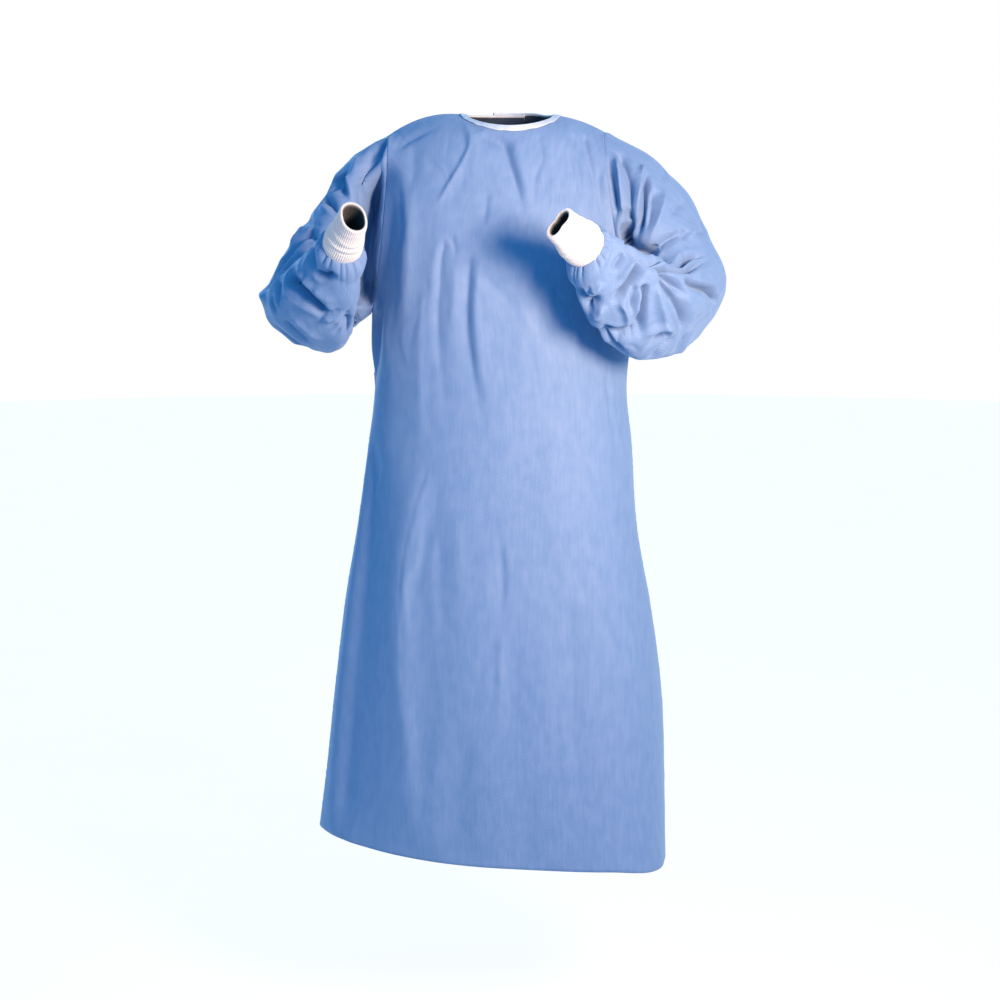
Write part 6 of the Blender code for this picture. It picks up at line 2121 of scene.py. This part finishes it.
    def bars(self, name: str, parts: list[Array], finishes: Finishes) -> Piece:
        """A sewn box with a cross where a tie is fastened."""
        centre, up, half, out = (part[:2] for part in parts)
        along = unit(centre[1] - centre[0])
        start = centre[0] + along * self.bar_inset + out[0] * 0.0001
        end = start + along * self.bar_length
        rise = up[0] * (float(half[0]) - self.bar_inset)
        box = np.array((start - rise, end - rise, end + rise, start + rise, start - rise, end + rise))
        cross = np.array((start + rise, end - rise))
        lines = [spread(line, np.linspace(0.0, 1.0, self.bar_points)) for line in (box, cross)]
        piece = StitchRow(pitch=0.0026, length=0.0021).sew(f"{name}_stitches", lines, finishes.blue_thread)
        return attach(piece, "nonwoven")

    def knot(self, body: Body, finishes: Finishes) -> Piece:
        """The knot: two gathered sides held by a band that wraps the middle."""
        centre = body.at(self.UNDER, self.middle_z, self.knot_share, self.knot_lift)
        out = unit(centre - body.at(self.UNDER, self.middle_z, self.knot_share, 0.0))
        right, left = (body.at(self.UNDER, self.middle_z, self.knot_share + step, 0.0)
                       for step in (-self.KNOT_STEP, self.KNOT_STEP))
        across = unit(left - right)
        down = np.cross(out, across)
        wide, high, deep = self.knot_half
        turn = np.linspace(0.0, 2.0 * math.pi, self.knot_sides, endpoint=False)
        grid = []
        for part in np.linspace(0.0, 1.0, self.knot_rings):
            place = -math.cos(math.pi * part)
            girth = math.sin(math.pi * part) ** 0.55 if 0.0 < part < 1.0 else 0.02
            pinch = 1.0 - self.pinch * float(bell((abs(place) - 0.36) / 0.12))
            wrap = self.wrap * float(bell((place - 0.04) / 0.24) ** 2)
            pleats = np.cos(self.pleats * turn + 5.0 * place) * float(ease(abs(place) / 0.5))
            size = (girth * pinch + wrap) * (1.0 + self.pleat_depth * girth * pleats)
            height = (np.cos(turn) * size + self.slant * place) * high
            grid.append(centre + across * wide * place + np.outer(height, down)
                        + np.outer(np.sin(turn) * size * deep, out))
        grid = np.array(grid)
        normals = unit(grid - centre)
        piece = cloth_piece("waist_knot_cloth", grid, normals, finishes.nonwoven, 0.0, closed=True)
        shell = bmesh.new()
        shell.from_mesh(piece.data)
        bmesh.ops.holes_fill(shell, edges=[edge for edge in shell.edges if edge.is_boundary], sides=0)
        bmesh.ops.recalc_face_normals(shell, faces=shell.faces)
        shell.to_mesh(piece.data)
        shell.free()
        return attach(piece, "nonwoven", ("waist_knot",))


# ----- Studio -----


@dataclass
class Studio:
    """A plain pale floor, soft light and the camera."""

    camera_at: Point = (-0.016, -3.380, -0.2416)
    camera_to: Point = (-0.016, 0.000, -0.6116)
    focal_pixels: float = 2111.0
    frame_pixels: float = 1000.0
    sensor: float = 36.0
    floor_z: float = -1.47
    floor_radius: float = 9.0
    floor_front: float = -0.45
    key_at: Point = (0.80, -1.51, -0.08)
    key_to: Point = (0.06, -0.10, -0.24)
    key_power: float = 29.5
    key_size: float = 0.44
    key_spread: float = 126.0
    key_colour: Point = (1.0, 0.70, 0.49)
    rim_towards: Point = (-0.30, 0.95, 0.14)
    rim_strength: float = 2.4
    rim_angle: float = 40.0
    rim_colour: Point = (0.66, 0.84, 1.0)
    sky: float = 0.86
    sky_colour: Point = (0.12, 0.55, 1.0)
    backdrop: float = 1.0

    def build(self) -> None:
        """Makes the floor, the light and the camera."""
        self.floor()
        self.key()
        self.rim()
        self.world()
        self.camera()

    def floor(self) -> None:
        """A wide round floor."""
        mesh = bpy.data.meshes.new("floor")
        disc = bmesh.new()
        bmesh.ops.create_circle(disc, cap_ends=True, radius=self.floor_radius, segments=96)
        middle = (0.0, self.floor_front + self.floor_radius, self.floor_z)
        bmesh.ops.translate(disc, verts=disc.verts, vec=middle)
        disc.to_mesh(mesh)
        disc.free()
        mesh.materials.append(Paper().build())
        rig.stage(linked("floor", mesh))

    @staticmethod
    def aimed(name: str, data: bpy.types.ID, at: Point, to: Point = (0.0, 0.0, 0.0)) -> Piece:
        """A new lamp or camera that stands at one point and looks at another."""
        thing = linked(name, data)
        thing.location = at
        thing.rotation_euler = (Vector(to) - Vector(at)).to_track_quat("-Z", "Y").to_euler()
        return thing

    def key(self) -> None:
        """The main light: a soft square window at the front, to the wearer's left."""
        lamp = bpy.data.lights.new("key", "AREA")
        lamp.energy = self.key_power
        lamp.spread = math.radians(self.key_spread)
        lamp.color = self.key_colour
        lamp.size = self.key_size
        self.aimed("key", lamp, self.key_at, self.key_to)

    def rim(self) -> None:
        """A broad even light from behind."""
        lamp = bpy.data.lights.new("rim", "SUN")
        lamp.energy = self.rim_strength
        lamp.color = self.rim_colour
        lamp.angle = math.radians(self.rim_angle)
        self.aimed("rim", lamp, self.rim_towards)

    def world(self) -> None:
        """A white backdrop that lights the gown only gently, with the blue of the sky."""
        world = bpy.data.worlds.new("studio")
        world.use_nodes = True
        world.node_tree.nodes.clear()
        graph = NodeGraph(world.node_tree)
        seen, sky = (graph.add("ShaderNodeBackground", {"Color": (*colour, 1.0), "Strength": strength})
                     for colour, strength in (((1.0, 1.0, 1.0), self.backdrop), (self.sky_colour, self.sky)))
        path = graph.add("ShaderNodeLightPath")
        mix = graph.add("ShaderNodeMixShader",
                        {0: path.outputs["Is Camera Ray"], 1: sky.outputs[0], 2: seen.outputs[0]})
        graph.add("ShaderNodeOutputWorld", {0: mix.outputs[0]})
        bpy.context.scene.world = world
        bpy.context.scene.view_settings.view_transform = "Standard"

    def camera(self) -> None:
        """The camera, in front and a little above the middle of the gown."""
        lens = bpy.data.cameras.new("camera")
        lens.sensor_width = self.sensor
        lens.lens = self.focal_pixels / self.frame_pixels * self.sensor
        bpy.context.scene.camera = self.aimed("camera", lens, self.camera_at, self.camera_to)


# ----- The gown -----


def main() -> None:
    """Builds the gown piece by piece, and the studio round it."""
    finishes = Finishes()
    body = Body()
    body.shape()
    pieces = body.dress(finishes)
    for sleeve in (Sleeve(RIGHT_CUFF, RIGHT_ARM, RIGHT_ARM_FOLDS, 0.212, (0.52, 0.52), ARM_HOLLOW),
                   Sleeve(LEFT_CUFF, LEFT_ARM, LEFT_ARM_FOLDS, 0.242, (0.54, 0.57), CROOK_HOLLOW)):
        pieces.append(sleeve.dress(body.armhole(sleeve.cuff.side), finishes))
    pieces += [Cuff(form).dress(finishes) for form in (RIGHT_CUFF, LEFT_CUFF)]
    pieces += NeckTape().dress(body, finishes) + WaistTies().dress(body, finishes)
    for piece in pieces:
        log.info("%s: %d points", piece.name, len(piece.data.vertices))
    Studio().build()


def write_sizes() -> None:
    """Writes the solids' box and the dressed gown's box."""
    boxes = {name: [list(corner) for corner in box]
             for name, box in (("cad", CAD_BOUNDS), ("visual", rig.bounds()))}
    with open(SIZE_FILE, "w", encoding="utf-8") as out:
        json.dump(boxes, out)


if __name__ == "__main__":
    logging.basicConfig(level=logging.INFO, format="%(message)s")
    main()
    write_sizes()
